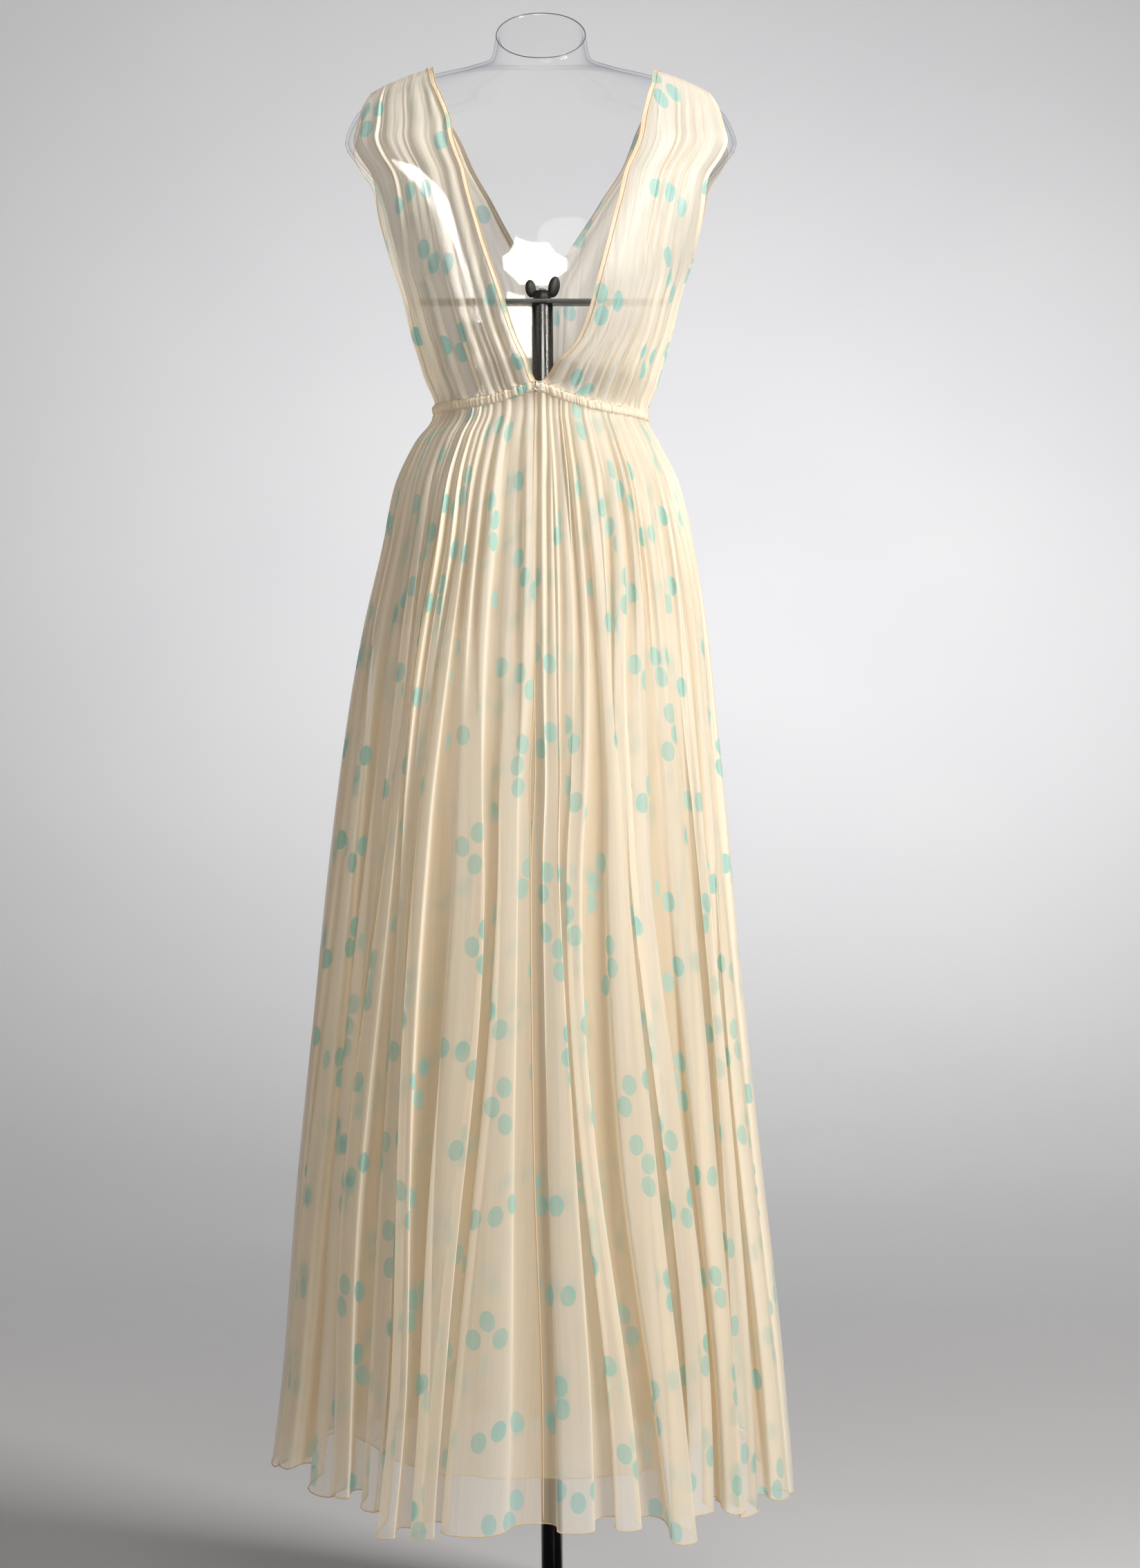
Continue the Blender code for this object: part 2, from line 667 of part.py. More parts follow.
def make_hook_and_eye(steel):
    """A small wire hook in its eye, lying on the casing at the centre front."""
    height = waist_height(0) - 0.5 * MM
    face = form_point(0, height, CASING_INSIDE + CASING_DEPTH).y - 1.6 * MM
    eye = bmesh.new()
    ring_radius, wire, around, across = 2.1 * MM, 0.5 * MM, 12, 6
    rings = []
    for i in range(around):
        turn = 2 * pi * i / around
        ring = []
        for k in range(across):
            spin = 2 * pi * k / across
            radius = ring_radius + wire * cos(spin)
            x = CENTRE_FRONT + radius * cos(turn)
            ring.append(eye.verts.new((x, face + wire * sin(spin), height + radius * sin(turn))))
        rings.append(ring)
    for ring, following in zip(rings, rings[1:] + rings[:1]):
        for k in range(across):
            n = (k + 1) % across
            eye.faces.new((ring[k], ring[n], following[n], following[k]))
    hook = finished("hook_and_eye", eye, steel)
    low, high = height - 0.6 * MM, height + 0.6 * MM
    left, right = CENTRE_FRONT + 1.6 * MM, CENTRE_FRONT + 6.0 * MM
    bill = [(left, low), (right, low), (right, high), (left, high)]
    combine(hook, extruded("hook_bill", bill, steel, face - 0.35 * MM, face + 0.35 * MM), "UNION")


def make_plate(clear):
    """The plate across the form, its ends against the form's inner wall."""
    half_depth = PLATE_DEPTH / 2
    low = PLATE_TOP - PLATE_THICK
    mesh = bmesh.new()
    outline = [
        (-PLATE_CORNER, -half_depth), (PLATE_CORNER, -half_depth), (PLATE_HALF, 0),
        (PLATE_CORNER, half_depth), (-PLATE_CORNER, half_depth), (-PLATE_HALF, 0),
    ]
    below = [mesh.verts.new((x, y, low)) for x, y in outline]
    above = [mesh.verts.new((x, y, PLATE_TOP)) for x, y in outline]
    mesh.faces.new(below[::-1])
    mesh.faces.new(above)
    for k in range(len(outline)):
        n = (k + 1) % len(outline)
        mesh.faces.new((below[k], below[n], above[n], above[k]))
    plate = finished("support_plate", mesh, clear)
    bore = STUD_RADIUS + SEAM
    hole = [(0, low - MM), (bore, low - MM), (bore, PLATE_TOP + MM), (0, PLATE_TOP + MM)]
    combine(plate, turned("plate_hole", hole, clear, 16), "DIFFERENCE")


def make_wing_nut(black):
    """The nut that clamps the plate to the pole: a round hub and two flat ears, the right one higher."""
    seat = PLATE_TOP + SEAM
    hub_radius, hub_height = 9.5 * MM, 9.5 * MM
    bore = STUD_RADIUS + SEAM
    hub = [
        (bore, seat), (hub_radius, seat), (hub_radius - MM, seat + hub_height),
        (bore, seat + hub_height),
    ]
    nut = turned("wing_nut", hub, black, 20)
    Ear = namedtuple("Ear", "x top half_width turn")
    for number, ear in enumerate((Ear(-12, 21, 5.5, 8), Ear(12, 24.5, 6, -10))):
        low = 2.5
        outline = []
        for k in range(14):
            spin = 2 * pi * k / 14
            across = ear.half_width * cos(spin)
            up = (ear.top - low) / 2 * sin(spin)
            lean = radians(ear.turn)
            x = ear.x + across * cos(lean) - up * sin(lean)
            z = (ear.top + low) / 2 + across * sin(lean) + up * cos(lean)
            outline.append((stand_x(seat) + x * MM, seat + z * MM))
        lobe = extruded(f"ear_{number}", outline, black, -2 * MM, 2 * MM)
        combine(nut, lobe, "UNION")


def make_stand(black):
    """The pole with its stud through the plate, and the round foot with its collar."""
    shoulder = PLATE_TOP - PLATE_THICK - SEAM
    stud_top = PLATE_TOP + STUD_ABOVE_PLATE
    foot_top = FOOT_THICK + SEAM
    pole = [
        (0, foot_top), (POLE_RADIUS, foot_top), (POLE_RADIUS, shoulder),
        (STUD_RADIUS, shoulder), (STUD_RADIUS, stud_top - MM), (STUD_RADIUS - MM, stud_top),
        (0, stud_top),
    ]
    turned("pole", pole, black, 24)
    bore = POLE_RADIUS + SEAM
    edge = 2.5 * MM
    foot = [
        (0, 0), (FOOT_RADIUS, 0), (FOOT_RADIUS, FOOT_THICK - edge),
        (FOOT_RADIUS - edge, FOOT_THICK), (COLLAR_RADIUS, FOOT_THICK),
        (COLLAR_RADIUS, COLLAR_HEIGHT - MM), (COLLAR_RADIUS - MM, COLLAR_HEIGHT),
        (bore, COLLAR_HEIGHT), (bore, FOOT_THICK), (0, FOOT_THICK),
    ]
    turned("base", foot, black, 40)


for old in list(bpy.data.objects):
    bpy.data.objects.remove(old)

chiffon = material("cream_chiffon", (0.89, 0.80, 0.66), 0.6)
acrylic = material("clear_acrylic", (0.85, 0.86, 0.87), 0.08, alpha=0.25)
black_paint = material("black_paint", (0.008, 0.008, 0.009), 0.25)
plated_steel = material("plated_steel", (0.45, 0.43, 0.40), 0.35, metallic=1.0)

make_form(acrylic)
make_plate(acrylic)
make_wing_nut(black_paint)
make_stand(black_paint)
bodice_half("bodice_front_right", FRONT_RIGHT, FRONT_FOLDS, 1, 1, chiffon)
bodice_half("bodice_front_left", FRONT_LEFT, FRONT_FOLDS, 1, -1, chiffon)
bodice_half("bodice_back_right", BACK_RIGHT, BACK_FOLDS, -1, 1, chiffon)
bodice_half("bodice_back_left", BACK_LEFT, BACK_FOLDS, -1, -1, chiffon)
waist_casing("waist_casing_right", -1.5, 90 - NARROW_SEAM_TURN, chiffon)
waist_casing("waist_casing_left", 270 + NARROW_SEAM_TURN, 358.1, chiffon)
waist_casing("waist_casing_back", 90 + NARROW_SEAM_TURN, 270 - NARROW_SEAM_TURN, chiffon)
make_skirt(chiffon)
make_underskirt(chiffon)
make_hook_and_eye(plated_steel)
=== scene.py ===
from collections import namedtuple
from functools import partial
from math import cos, pi, radians, sin

import bpy
import numpy as np
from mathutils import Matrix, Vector


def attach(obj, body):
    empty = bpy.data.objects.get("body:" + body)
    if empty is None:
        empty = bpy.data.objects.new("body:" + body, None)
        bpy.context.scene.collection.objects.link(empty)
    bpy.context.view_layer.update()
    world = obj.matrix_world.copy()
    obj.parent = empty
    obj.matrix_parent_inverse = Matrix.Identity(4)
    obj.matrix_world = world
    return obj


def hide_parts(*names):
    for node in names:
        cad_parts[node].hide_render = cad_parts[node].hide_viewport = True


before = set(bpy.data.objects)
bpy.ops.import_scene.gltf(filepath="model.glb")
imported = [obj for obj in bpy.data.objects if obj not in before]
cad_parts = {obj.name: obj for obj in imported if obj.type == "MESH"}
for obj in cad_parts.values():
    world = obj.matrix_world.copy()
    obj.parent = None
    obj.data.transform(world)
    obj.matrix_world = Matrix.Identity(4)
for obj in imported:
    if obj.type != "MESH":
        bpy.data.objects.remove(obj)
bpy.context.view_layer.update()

# Foot and pole: a flat round steel foot with a collar, and a steel tube standing in it.
# Both are sprayed with black enamel and baked, so the lamps show in them as pale streaks.
# The tube ends in a plated M8 stud that goes through the plate.
MM = 0.001
POLE_FOOT_X = 12.5 * MM
POLE_LEAN = -0.0078
POLE_RADIUS = 11 * MM
STUD_RADIUS = 4 * MM
STUD_PITCH = 1.25 * MM
PLATE_TOP = 1.4035
PLATE_THICK = 4 * MM
FOOT_RADIUS = 165 * MM
FOOT_THICK = 9 * MM
COLLAR_RADIUS = 19 * MM
COLLAR_HEIGHT = 32 * MM
SEAM = 0.3 * MM


def linear(code):
    """An sRGB hex colour as linear red, green, blue and alpha."""
    parts = [int(code[k : k + 2], 16) / 255 for k in (1, 3, 5)]
    return (*[p / 12.92 if p <= 0.04045 else ((p + 0.055) / 1.055) ** 2.4 for p in parts], 1.0)


def add_node(tree, kind, inputs=None, **settings):
    """Adds a node with its settings, and sets or links its inputs. A node given as an input stands
    for its first output in use, and a kind with no Node in its name is a shader node."""
    node = tree.nodes.new(kind if "Node" in kind else "ShaderNode" + kind)
    for name, value in settings.items():
        setattr(node, name, value)
    for key, value in (inputs or {}).items():
        if isinstance(value, bpy.types.Node):
            value = next(socket for socket in value.outputs if socket.enabled)
        if isinstance(value, bpy.types.NodeSocket):
            tree.links.new(value, node.inputs[key])
        else:
            node.inputs[key].default_value = value
    return node


def new_material(name):
    """An empty material, and the helper that adds nodes to it."""
    made = bpy.data.materials.new(name)
    made.use_nodes = True
    made.node_tree.nodes.clear()
    return made, partial(add_node, made.node_tree)


def hard_finish(name, colour, grain, gloss, relief=None, more=None):
    """A hard finish on object coordinates. Its roughness follows the noise in grain, between the
    values in gloss, and relief is the noise, strength and distance of its bumps."""
    made, add = new_material(name)
    place = add("TexCoord").outputs["Object"]
    rough = add("MapRange", {"Value": add("TexNoise", {"Vector": place, **grain}), **gloss})
    inputs = {"Base Color": linear(colour), "Roughness": rough, **(more or {})}
    if relief:
        bumps, strength, distance = relief
        height = add("TexNoise", {"Vector": place, **bumps})
        inputs["Normal"] = add("Bump", {"Strength": strength, "Distance": distance, "Height": height})
    add("OutputMaterial", {"Surface": add("BsdfPrincipled", inputs)})
    return made


def mesh_object(name, points, faces, material=None, edges=()):
    """A smooth mesh in the scene."""
    mesh = bpy.data.meshes.new(name)
    mesh.from_pydata([tuple(point) for point in points], edges, [tuple(face) for face in faces])
    mesh.shade_smooth()
    if material:
        mesh.materials.append(material)
    obj = bpy.data.objects.new(name, mesh)
    bpy.context.scene.collection.objects.link(obj)
    return obj


def new_object(name, points, faces, material, slot, replaces=()):
    """A mesh that rides on the root body and hides the nodes it replaces. Its slot is not used."""
    obj = mesh_object(name, points, faces, material)
    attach(obj, "root")
    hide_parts(*replaces)
    return obj


def stand_x(height):
    """Where the leaning stand's axis is at a height."""
    return POLE_FOOT_X + POLE_LEAN * height


def turned(profile, segments):
    """Points and faces turned about the stand's axis from (radius, height), top to bottom outside."""
    points, faces, rings = [], [], []
    for radius, height in profile:
        count = segments if radius > 0 else 1
        rings.append([len(points) + k for k in range(count)])
        for k in range(count):
            turn = 2 * pi * k / segments
            x = stand_x(height) + radius * cos(turn)
            points.append((x, radius * sin(turn), height))
    for ring, following in zip(rings, rings[1:]):
        for k in range(segments):
            n = (k + 1) % segments
            corners = [ring[k % len(ring)], following[k % len(following)]]
            corners += [following[n % len(following)], ring[n % len(ring)]]
            faces.append(list(dict.fromkeys(corners)))
    return points, faces


# Baked enamel is as glossy as glass, over a faint orange peel that softens what it mirrors.
enamel = hard_finish(
    "baked_black_enamel", "#121214", {"Scale": 38, "Detail": 6},
    {"From Min": 0.35, "From Max": 0.75, "To Min": 0.14, "To Max": 0.34},
    relief=({"Scale": 420, "Detail": 2}, 0.08, 0.4 * MM),
    more={"IOR": 1.5, "Coat Weight": 0.6, "Coat Roughness": 0.08},
)
# Zinc plating is bright, with a faint cloudiness from its crystals.
steel = hard_finish(
    "bright_zinc_plated_steel", "#C9C6BE", {"Scale": 900, "Detail": 5, "Roughness": 0.7},
    {"To Min": 0.18, "To Max": 0.5}, more={"Metallic": 1.0},
)

shoulder = PLATE_TOP - PLATE_THICK - SEAM
stud_top = PLATE_TOP + 12.5 * MM
edge = 0.8 * MM
tube = [
    (0, shoulder), (POLE_RADIUS - edge, shoulder), (POLE_RADIUS - 0.2 * edge, shoulder - 0.3 * edge),
    (POLE_RADIUS, shoulder - edge), (POLE_RADIUS, FOOT_THICK + MM), (0, FOOT_THICK + MM),
]
new_object("enamelled_pole", *turned(tube, 96), enamel, "black_paint", ["pole"])

stud = [(0, stud_top), (STUD_RADIUS - MM, stud_top), (STUD_RADIUS, stud_top - MM)]
for k in range(int((stud_top - MM - shoulder) / STUD_PITCH)):
    crest = stud_top - MM - k * STUD_PITCH
    stud += [(STUD_RADIUS, crest - 0.3 * STUD_PITCH), (STUD_RADIUS - 0.7 * MM, crest - 0.6 * STUD_PITCH)]
stud += [(STUD_RADIUS, shoulder + 0.1 * MM), (0, shoulder + 0.1 * MM)]
new_object("threaded_stud", *turned(stud, 48), steel, "plated_steel")

rim = 2.5 * MM
foot = [
    (COLLAR_RADIUS - 7 * MM, COLLAR_HEIGHT), (COLLAR_RADIUS - MM, COLLAR_HEIGHT),
    (COLLAR_RADIUS - 0.3 * MM, COLLAR_HEIGHT - 0.3 * MM), (COLLAR_RADIUS, COLLAR_HEIGHT - MM),
    (COLLAR_RADIUS, FOOT_THICK + MM), (COLLAR_RADIUS + MM, FOOT_THICK), (FOOT_RADIUS - rim, FOOT_THICK),
]
foot += [
    (FOOT_RADIUS - rim + rim * sin(t), FOOT_THICK - rim + rim * cos(t))
    for t in (pi / 8, pi / 4, 3 * pi / 8, pi / 2)
]
foot += [(FOOT_RADIUS, 0), (0, 0)]
new_object("enamelled_foot", *turned(foot, 160), enamel, "black_paint", ["base"])

# Support plate: a strip of clear acrylic across the inside of the form, resting on the pole.
# It is cut from 4 mm sheet. Its sawn edge is drawn dark along the top and a third as dark below, painted
# shade for the light the clear edge turns away.
# The saw leaves a fine frosting on the clear sheet, so light comes through it smoky.
smoky, add = new_material("sawn_clear_acrylic_edge")
place = add("TexCoord").outputs["Object"]
# Dark along the top and a third as dark below it: painted shade.
line = add("MapRange", {
    "Value": add("SeparateXYZ", {"Vector": place}).outputs["Z"],
    "From Min": PLATE_TOP - 2.1 * MM, "From Max": PLATE_TOP - 1.7 * MM, "To Min": 0.34, "To Max": 0.9,
})
sawn = add("TexNoise", {"Vector": place, "Scale": 700, "Detail": 3, "Distortion": 0.4})
body = add("BsdfPrincipled", {
    "Base Color": linear("#34322F"), "Roughness": 0.22, "IOR": 1.49,
    "Normal": add("Bump", {"Strength": 0.25, "Distance": 0.3 * MM, "Height": sawn}),
})
through = add("BsdfTransparent", {"Color": linear("#D8D2C8")})
add("OutputMaterial", {"Surface": add("MixShader", {0: line, 1: through, 2: body})})
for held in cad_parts["support_plate"].material_slots:
    held.material = smoky

# Wing nut: a pressed steel nut with two rounded ears, black oxide finished.
# It is screwed down on the stud by hand and clamps the plate; the right ear stands a little higher.
# Black oxide is a thin dark skin on the steel, so the nut shines dully and unevenly.
black_oxide = hard_finish(
    "black_oxide_steel", "#1A1918", {"Scale": 620, "Detail": 6}, {"To Min": 0.22, "To Max": 0.48},
    relief=({"Scale": 620, "Detail": 6}, 0.3, 0.2 * MM), more={"Metallic": 0.35},
)

seat = PLATE_TOP + SEAM
hub = [(4.3, 9.5), (7.6, 9.5), (8.5, 8.7), (9.3, 3.5), (9.5, 1.2), (9.3, 0.3), (8.8, 0), (4.3, 0)]
points, faces = turned([(radius * MM, seat + up * MM) for radius, up in hub], 64)
Ear = namedtuple("Ear", "x top half_width lean")
EAR_TURNS, EAR_ROWS, EAR_LOW, EAR_DEPTH = 28, 15, 2.5, 2.3
for ear in (Ear(-12, 21, 5.5, 8), Ear(12, 24.5, 6, -10)):
    first = len(points)
    lean = radians(ear.lean)
    for i in range(EAR_ROWS + 1):
        latitude = -pi / 2 + pi * i / EAR_ROWS
        for k in range(EAR_TURNS):
            turn = 2 * pi * k / EAR_TURNS
            across = ear.half_width * np.sign(cos(turn)) * abs(cos(turn)) ** 0.8 * cos(latitude)
            deep = EAR_DEPTH * sin(turn) * cos(latitude) ** 0.55 if abs(cos(latitude)) > 1e-6 else 0
            up = (ear.top - EAR_LOW) / 2 * sin(latitude)
            x = ear.x + across * cos(lean) - up * sin(lean)
            z = (ear.top + EAR_LOW) / 2 + across * sin(lean) + up * cos(lean)
            points.append((stand_x(seat) + x * MM, deep * MM, seat + z * MM))
    for i in range(EAR_ROWS):
        for k in range(EAR_TURNS):
            n = (k + 1) % EAR_TURNS
            a, b = first + i * EAR_TURNS, first + (i + 1) * EAR_TURNS
            faces.append((a + k, a + n, b + n, b + k))
new_object("wing_nut_black", points, faces, black_oxide, "black_paint", ["wing_nut"])

# Dress form: a limbless bust of 3 mm clear acrylic, blown into a mould in one open shell.
# Its neck is cut on a slant, and the polished cut edge looks dark where it turns the light away.
FORM_WALL = 3 * MM
SQUARENESS = 2.2
NECK_SLANT = 33 * MM
Section = namedtuple("Section", "height half_width front back")
FORM = [Section(*row) for row in (
    (1.676, 0.0458, 0.0460, 0.0460),
    (1.652, 0.0510, 0.0495, 0.0520),
    (1.645, 0.0700, 0.0520, 0.0580),
    (1.634, 0.1080, 0.0570, 0.0660),
    (1.621, 0.1470, 0.0625, 0.0740),
    (1.607, 0.1735, 0.0680, 0.0815),
    (1.590, 0.1910, 0.0745, 0.0895),
    (1.563, 0.2010, 0.0845, 0.0990),
    (1.543, 0.1885, 0.0910, 0.1035),
    (1.520, 0.1700, 0.0985, 0.1060),
    (1.465, 0.1545, 0.1180, 0.1075),
    (1.410, 0.1390, 0.1270, 0.1020),
    (1.350, 0.1180, 0.1080, 0.0880),
    (1.318, 0.1085, 0.0930, 0.0810),
    (1.303, 0.1055, 0.0870, 0.0780),
    (1.285, 0.1040, 0.0830, 0.0760),
    (1.257, 0.1075, 0.0845, 0.0785),
    (1.215, 0.1220, 0.0920, 0.0910),
    (1.155, 0.1390, 0.1030, 0.1110),
    (1.070, 0.1500, 0.1120, 0.1240),
)]


def curve(x, values, at):
    """Values at other places on a smooth curve that never overshoots them. x rises."""
    slopes = np.diff(values) / np.diff(x)
    product = slopes[:-1] * slopes[1:]
    total = slopes[:-1] + slopes[1:]
    inner = np.where(product > 0, 2 * product / np.where(product > 0, total, 1), 0)
    tangents = np.concatenate([slopes[:1], inner, slopes[-1:]])
    at = np.clip(at, x[0], x[-1])
    i = np.clip(np.searchsorted(x, at, side="right") - 1, 0, len(x) - 2)
    gap = x[i + 1] - x[i]
    t = (at - x[i]) / gap
    start = (1 + 2 * t) * (1 - t) ** 2 * values[i] + t * (1 - t) ** 2 * gap * tangents[i]
    end = t * t * (3 - 2 * t) * values[i + 1] + t * t * (t - 1) * gap * tangents[i + 1]
    return start + end


def at_height(table, column, height):
    """A column of a table at these heights."""
    rows = sorted(table)
    heights = np.array([row.height for row in rows])
    return curve(heights, np.array([getattr(row, column) for row in rows]), height)


def ramp(value, low, high):
    """0 up to low, 1 from high on, and a smooth rise between them."""
    t = np.clip((value - low) / (high - low), 0.0, 1.0)
    return t * t * (3 - 2 * t)


def section_points(angle, right, left, front, back, height):
    """Points of rounded sections, at angles in degrees from the centre front."""
    angle, height = np.broadcast_arrays(angle, height)
    across, ahead = np.sin(np.radians(angle)), np.cos(np.radians(angle))
    power = 2 / SQUARENESS
    x = np.sign(across) * np.abs(across) ** power * np.where(across > 0, right, left)
    y = -np.sign(ahead) * np.abs(ahead) ** power * np.where(ahead > 0, front, back)
    return np.stack([x, y, height], axis=-1)


def form_reach(height):
    """The form's half width and its reach in front and behind."""
    return [at_height(FORM, column, height) for column in ("half_width", "front", "back")]


def form_points(angle, height, outside=0.0):
    """Points this far outside the form."""
    half_width, front, back = (reach + outside for reach in form_reach(height))
    return section_points(angle, half_width, half_width, front, back, height)


def grid_faces(rows, columns, around):
    """The faces of a grid of points whose columns run round the body and rows run down."""
    i, j = np.meshgrid(np.arange(rows - 1), np.arange(columns - 1 + around), indexing="ij")
    k = (j + 1) % columns
    corners = [i * columns + j, (i + 1) * columns + j, (i + 1) * columns + k, i * columns + k]
    return np.stack(corners, axis=-1).reshape(-1, 4)


def unit(vectors):
    """The same directions, each of length 1."""
    return vectors / np.linalg.norm(vectors, axis=-1, keepdims=True)


def rolled(path, radius, sides=6, closed=False, first=0):
    """Points and faces of a thin round edge along a path, with its ends closed."""
    path = np.asarray(path)
    count = len(path)
    ahead = np.roll(path, -1, axis=0) - np.roll(path, 1, axis=0)
    if not closed:
        ahead[0], ahead[-1] = path[1] - path[0], path[-1] - path[-2]
    ahead = unit(ahead)
    side = np.cross(ahead[0], (0, 0, 1) if abs(ahead[0][2]) < 0.9 else (1, 0, 0))
    spin = 2 * pi * np.arange(sides) / sides
    points = np.empty((count, sides, 3))
    for i in range(count):
        side = side - ahead[i] * side.dot(ahead[i])
        side /= np.linalg.norm(side)
        up = np.cross(ahead[i], side)
        points[i] = path[i] + radius * (np.cos(spin)[:, None] * side + np.sin(spin)[:, None] * up)
    faces = []
    for i in range(count if closed else count - 1):
        a, b = first + i * sides, first + (i + 1) % count * sides
        faces += [(a + k, a + (k + 1) % sides, b + (k + 1) % sides, b + k) for k in range(sides)]
    if not closed:
        faces.append(tuple(first + k for k in reversed(range(sides))))
        faces.append(tuple(first + (count - 1) * sides + k for k in range(sides)))
    return points.reshape(-1, 3), faces


# Blown acrylic is clear and shows its gloss: faint face on, strong at the sides.
# Its see-through tint greys a little when seen slanting, through more plastic, and nearly edge on it is
# dark grey: painted shade.
clear, add = new_material("blown_clear_acrylic")
place = add("TexCoord").outputs["Object"]
ripple = add("TexNoise", {"Vector": place, "Scale": 9, "Detail": 1})
facing = add("LayerWeight", {"Blend": 0.5}).outputs["Facing"]
steep, depth, painted_edge_shade = (add("Math", {0: facing, 1: power}, operation="POWER") for power in (8, 4, 30))
behind = add("MapRange", {
    "Value": add("SeparateXYZ", {"Vector": place}).outputs["Y"],
    "From Min": -0.02, "From Max": 0.02, "To Min": 0.004, "To Max": 0.03,
})
mirror = add("Math", {0: steep, 1: 0.22, 2: behind}, operation="MULTIPLY_ADD")
tint = add("Mix", {0: depth, 6: linear("#FFFFFF"), 7: linear("#E6E8EB")}, data_type="RGBA")
# Nearly edge on the walls are tinted dark grey, painted shade for the dark room the plastic bends into
# view.
tint = add("Mix", {0: painted_edge_shade, 6: tint, 7: linear("#4A4C52")}, data_type="RGBA")
through = add("BsdfTransparent", {"Color": tint})
shine = add("BsdfGlossy", {
    "Color": linear("#FFFFFF"), "Roughness": 0.02,
    "Normal": add("Bump", {"Strength": 0.1, "Distance": 2 * MM, "Height": ripple}),
})
add("OutputMaterial", {"Surface": add("MixShader", {0: mirror, 1: through, 2: shine})})

# The cut edge is polished, and its depth of plastic makes it look darker than the walls; its opaque dark
# grey is painted shade for the light the clear edge turns away.
rim_painted_shade = hard_finish(
    "polished_acrylic_rim", "#5B5D61", {"Scale": 60, "Detail": 3}, {"To Min": 0.05, "To Max": 0.2},
    more={"IOR": 1.49},
)

FORM_TURNS = 144
levels = np.concatenate([
    np.linspace(FORM[0].height, 1.60, 44, endpoint=False),
    np.linspace(1.60, FORM[-1].height, 74),
])[:, None]
turn = np.arange(FORM_TURNS) * 360 / FORM_TURNS
shell = form_points(turn[None, :], levels)
shell[..., 2] -= NECK_SLANT * ramp(levels, 1.624, FORM[0].height) * np.cos(np.radians(turn))
form = new_object(
    "acrylic_form", shell.reshape(-1, 3), grid_faces(len(levels), FORM_TURNS, True),
    clear, "clear_acrylic", ["form"],
)
wall = form.modifiers.new("wall", "SOLIDIFY")
wall.thickness = FORM_WALL
wall.offset = -1
# The rim tube carries the painted shade of the neck's cut edge.
new_object("polished_neck_rim", *rolled(shell[0], 0.55 * MM, closed=True), rim_painted_shade, "clear_acrylic")

# Chiffon: sheer plain-woven silk, printed with oval dots in threes on a cream ground.
# Two overlapping layers look solid and one looks like smoke; hard-twisted yarn gives faint streaks.
# The yarns lie 0.25 mm apart, which can't be seen here, so the streaks are drawn 3 mm apart.
DOT_HALF = (7.6 * MM, 10.2 * MM)
DOT_STEP = 21.5 * MM
DOT_CELL = (88 * MM, 92 * MM)
DOT_ROWS_TURN = radians(28)
# Each row of cells starts this share of a cell further on. The third dot's line turns from the
# other two's by up to TURN_APART, and each dot tilts by up to LARGEST_TILT, in radians.
ROW_SHIFT = 0.382
TURN_APART = 1.9
LARGEST_TILT = 0.31
STREAK = (3.2 * MM, 260 * MM)
CREASE = (8 * MM, 150 * MM)
BUNCH_COVER = 0.65
HOLLOW = 2.2 * MM


def dots(add, cut, soft):
    """1 inside the printed dots and 0 outside. Each cell of the cut holds three, in its own line."""
    rows = add("VectorRotate", {"Vector": cut, "Angle": DOT_ROWS_TURN}, rotation_type="Z_AXIS")
    in_cells = (1 / DOT_CELL[0], 1 / DOT_CELL[1], 0)
    scaled = add("VectorMath", {0: rows, 1: in_cells}, operation="MULTIPLY")
    parts = add("SeparateXYZ", {"Vector": scaled}).outputs
    row = add("Math", {0: parts["Y"]}, operation="FLOOR")
    shifted = add("Math", {0: row, 1: ROW_SHIFT, 2: parts["X"]}, operation="MULTIPLY_ADD")
    moved = add("CombineXYZ", {"X": shifted, "Y": parts["Y"]})
    cell = add("VectorMath", {0: moved}, operation="FLOOR")
    inside = add("VectorMath", {0: moved, 1: cell}, operation="SUBTRACT")
    other_cell = add("VectorMath", {0: cell, 1: (37.0, 11.0, 0)}, operation="ADD")
    chance, tilts = (
        add("TexWhiteNoise", {"Vector": corner}, noise_dimensions="2D").outputs
        for corner in (cell, other_cell)
    )
    centre = add(
        "VectorMath", {0: chance["Color"], 1: (0.28, 0.28, 0), 2: (0.36, 0.36, 0)},
        operation="MULTIPLY_ADD",
    )
    off = add("VectorMath", {0: inside, 1: centre}, operation="SUBTRACT")
    off = add("VectorMath", {0: off, 1: (*DOT_CELL, 0)}, operation="MULTIPLY")
    heading = add("Math", {0: chance["Value"], 1: 2 * pi}, operation="MULTIPLY")
    bend = add("Math", {0: tilts["Value"], 1: TURN_APART, 2: heading}, operation="MULTIPLY_ADD")
    colours = add("SeparateColor", {"Color": tilts["Color"]}).outputs
    mask = None
    for number, (direction, reach) in enumerate(((heading, 0.0), (heading, 1.0), (bend, -1.0))):
        step = add(
            "VectorRotate", {"Vector": (0, DOT_STEP * reach, 0), "Angle": direction},
            rotation_type="Z_AXIS",
        )
        away = add("VectorMath", {0: off, 1: step}, operation="SUBTRACT")
        tilt = add(
            "Math", {0: colours[number], 1: 2 * LARGEST_TILT, 2: -LARGEST_TILT - DOT_ROWS_TURN},
            operation="MULTIPLY_ADD",
        )
        turned_back = add("VectorRotate", {"Vector": away, "Angle": tilt}, rotation_type="Z_AXIS")
        in_halves = (1 / DOT_HALF[0], 1 / DOT_HALF[1], 0)
        round_again = add("VectorMath", {0: turned_back, 1: in_halves}, operation="MULTIPLY")
        length = add("VectorMath", {0: round_again}, operation="LENGTH")
        dot = add("MapRange", {
            "Value": length, "From Min": 1 - soft, "From Max": 1 + soft, "To Min": 1.0, "To Max": 0.0,
        })
        mask = add("Math", {0: mask, 1: dot}, operation="MAXIMUM") if mask else dot
    return mask


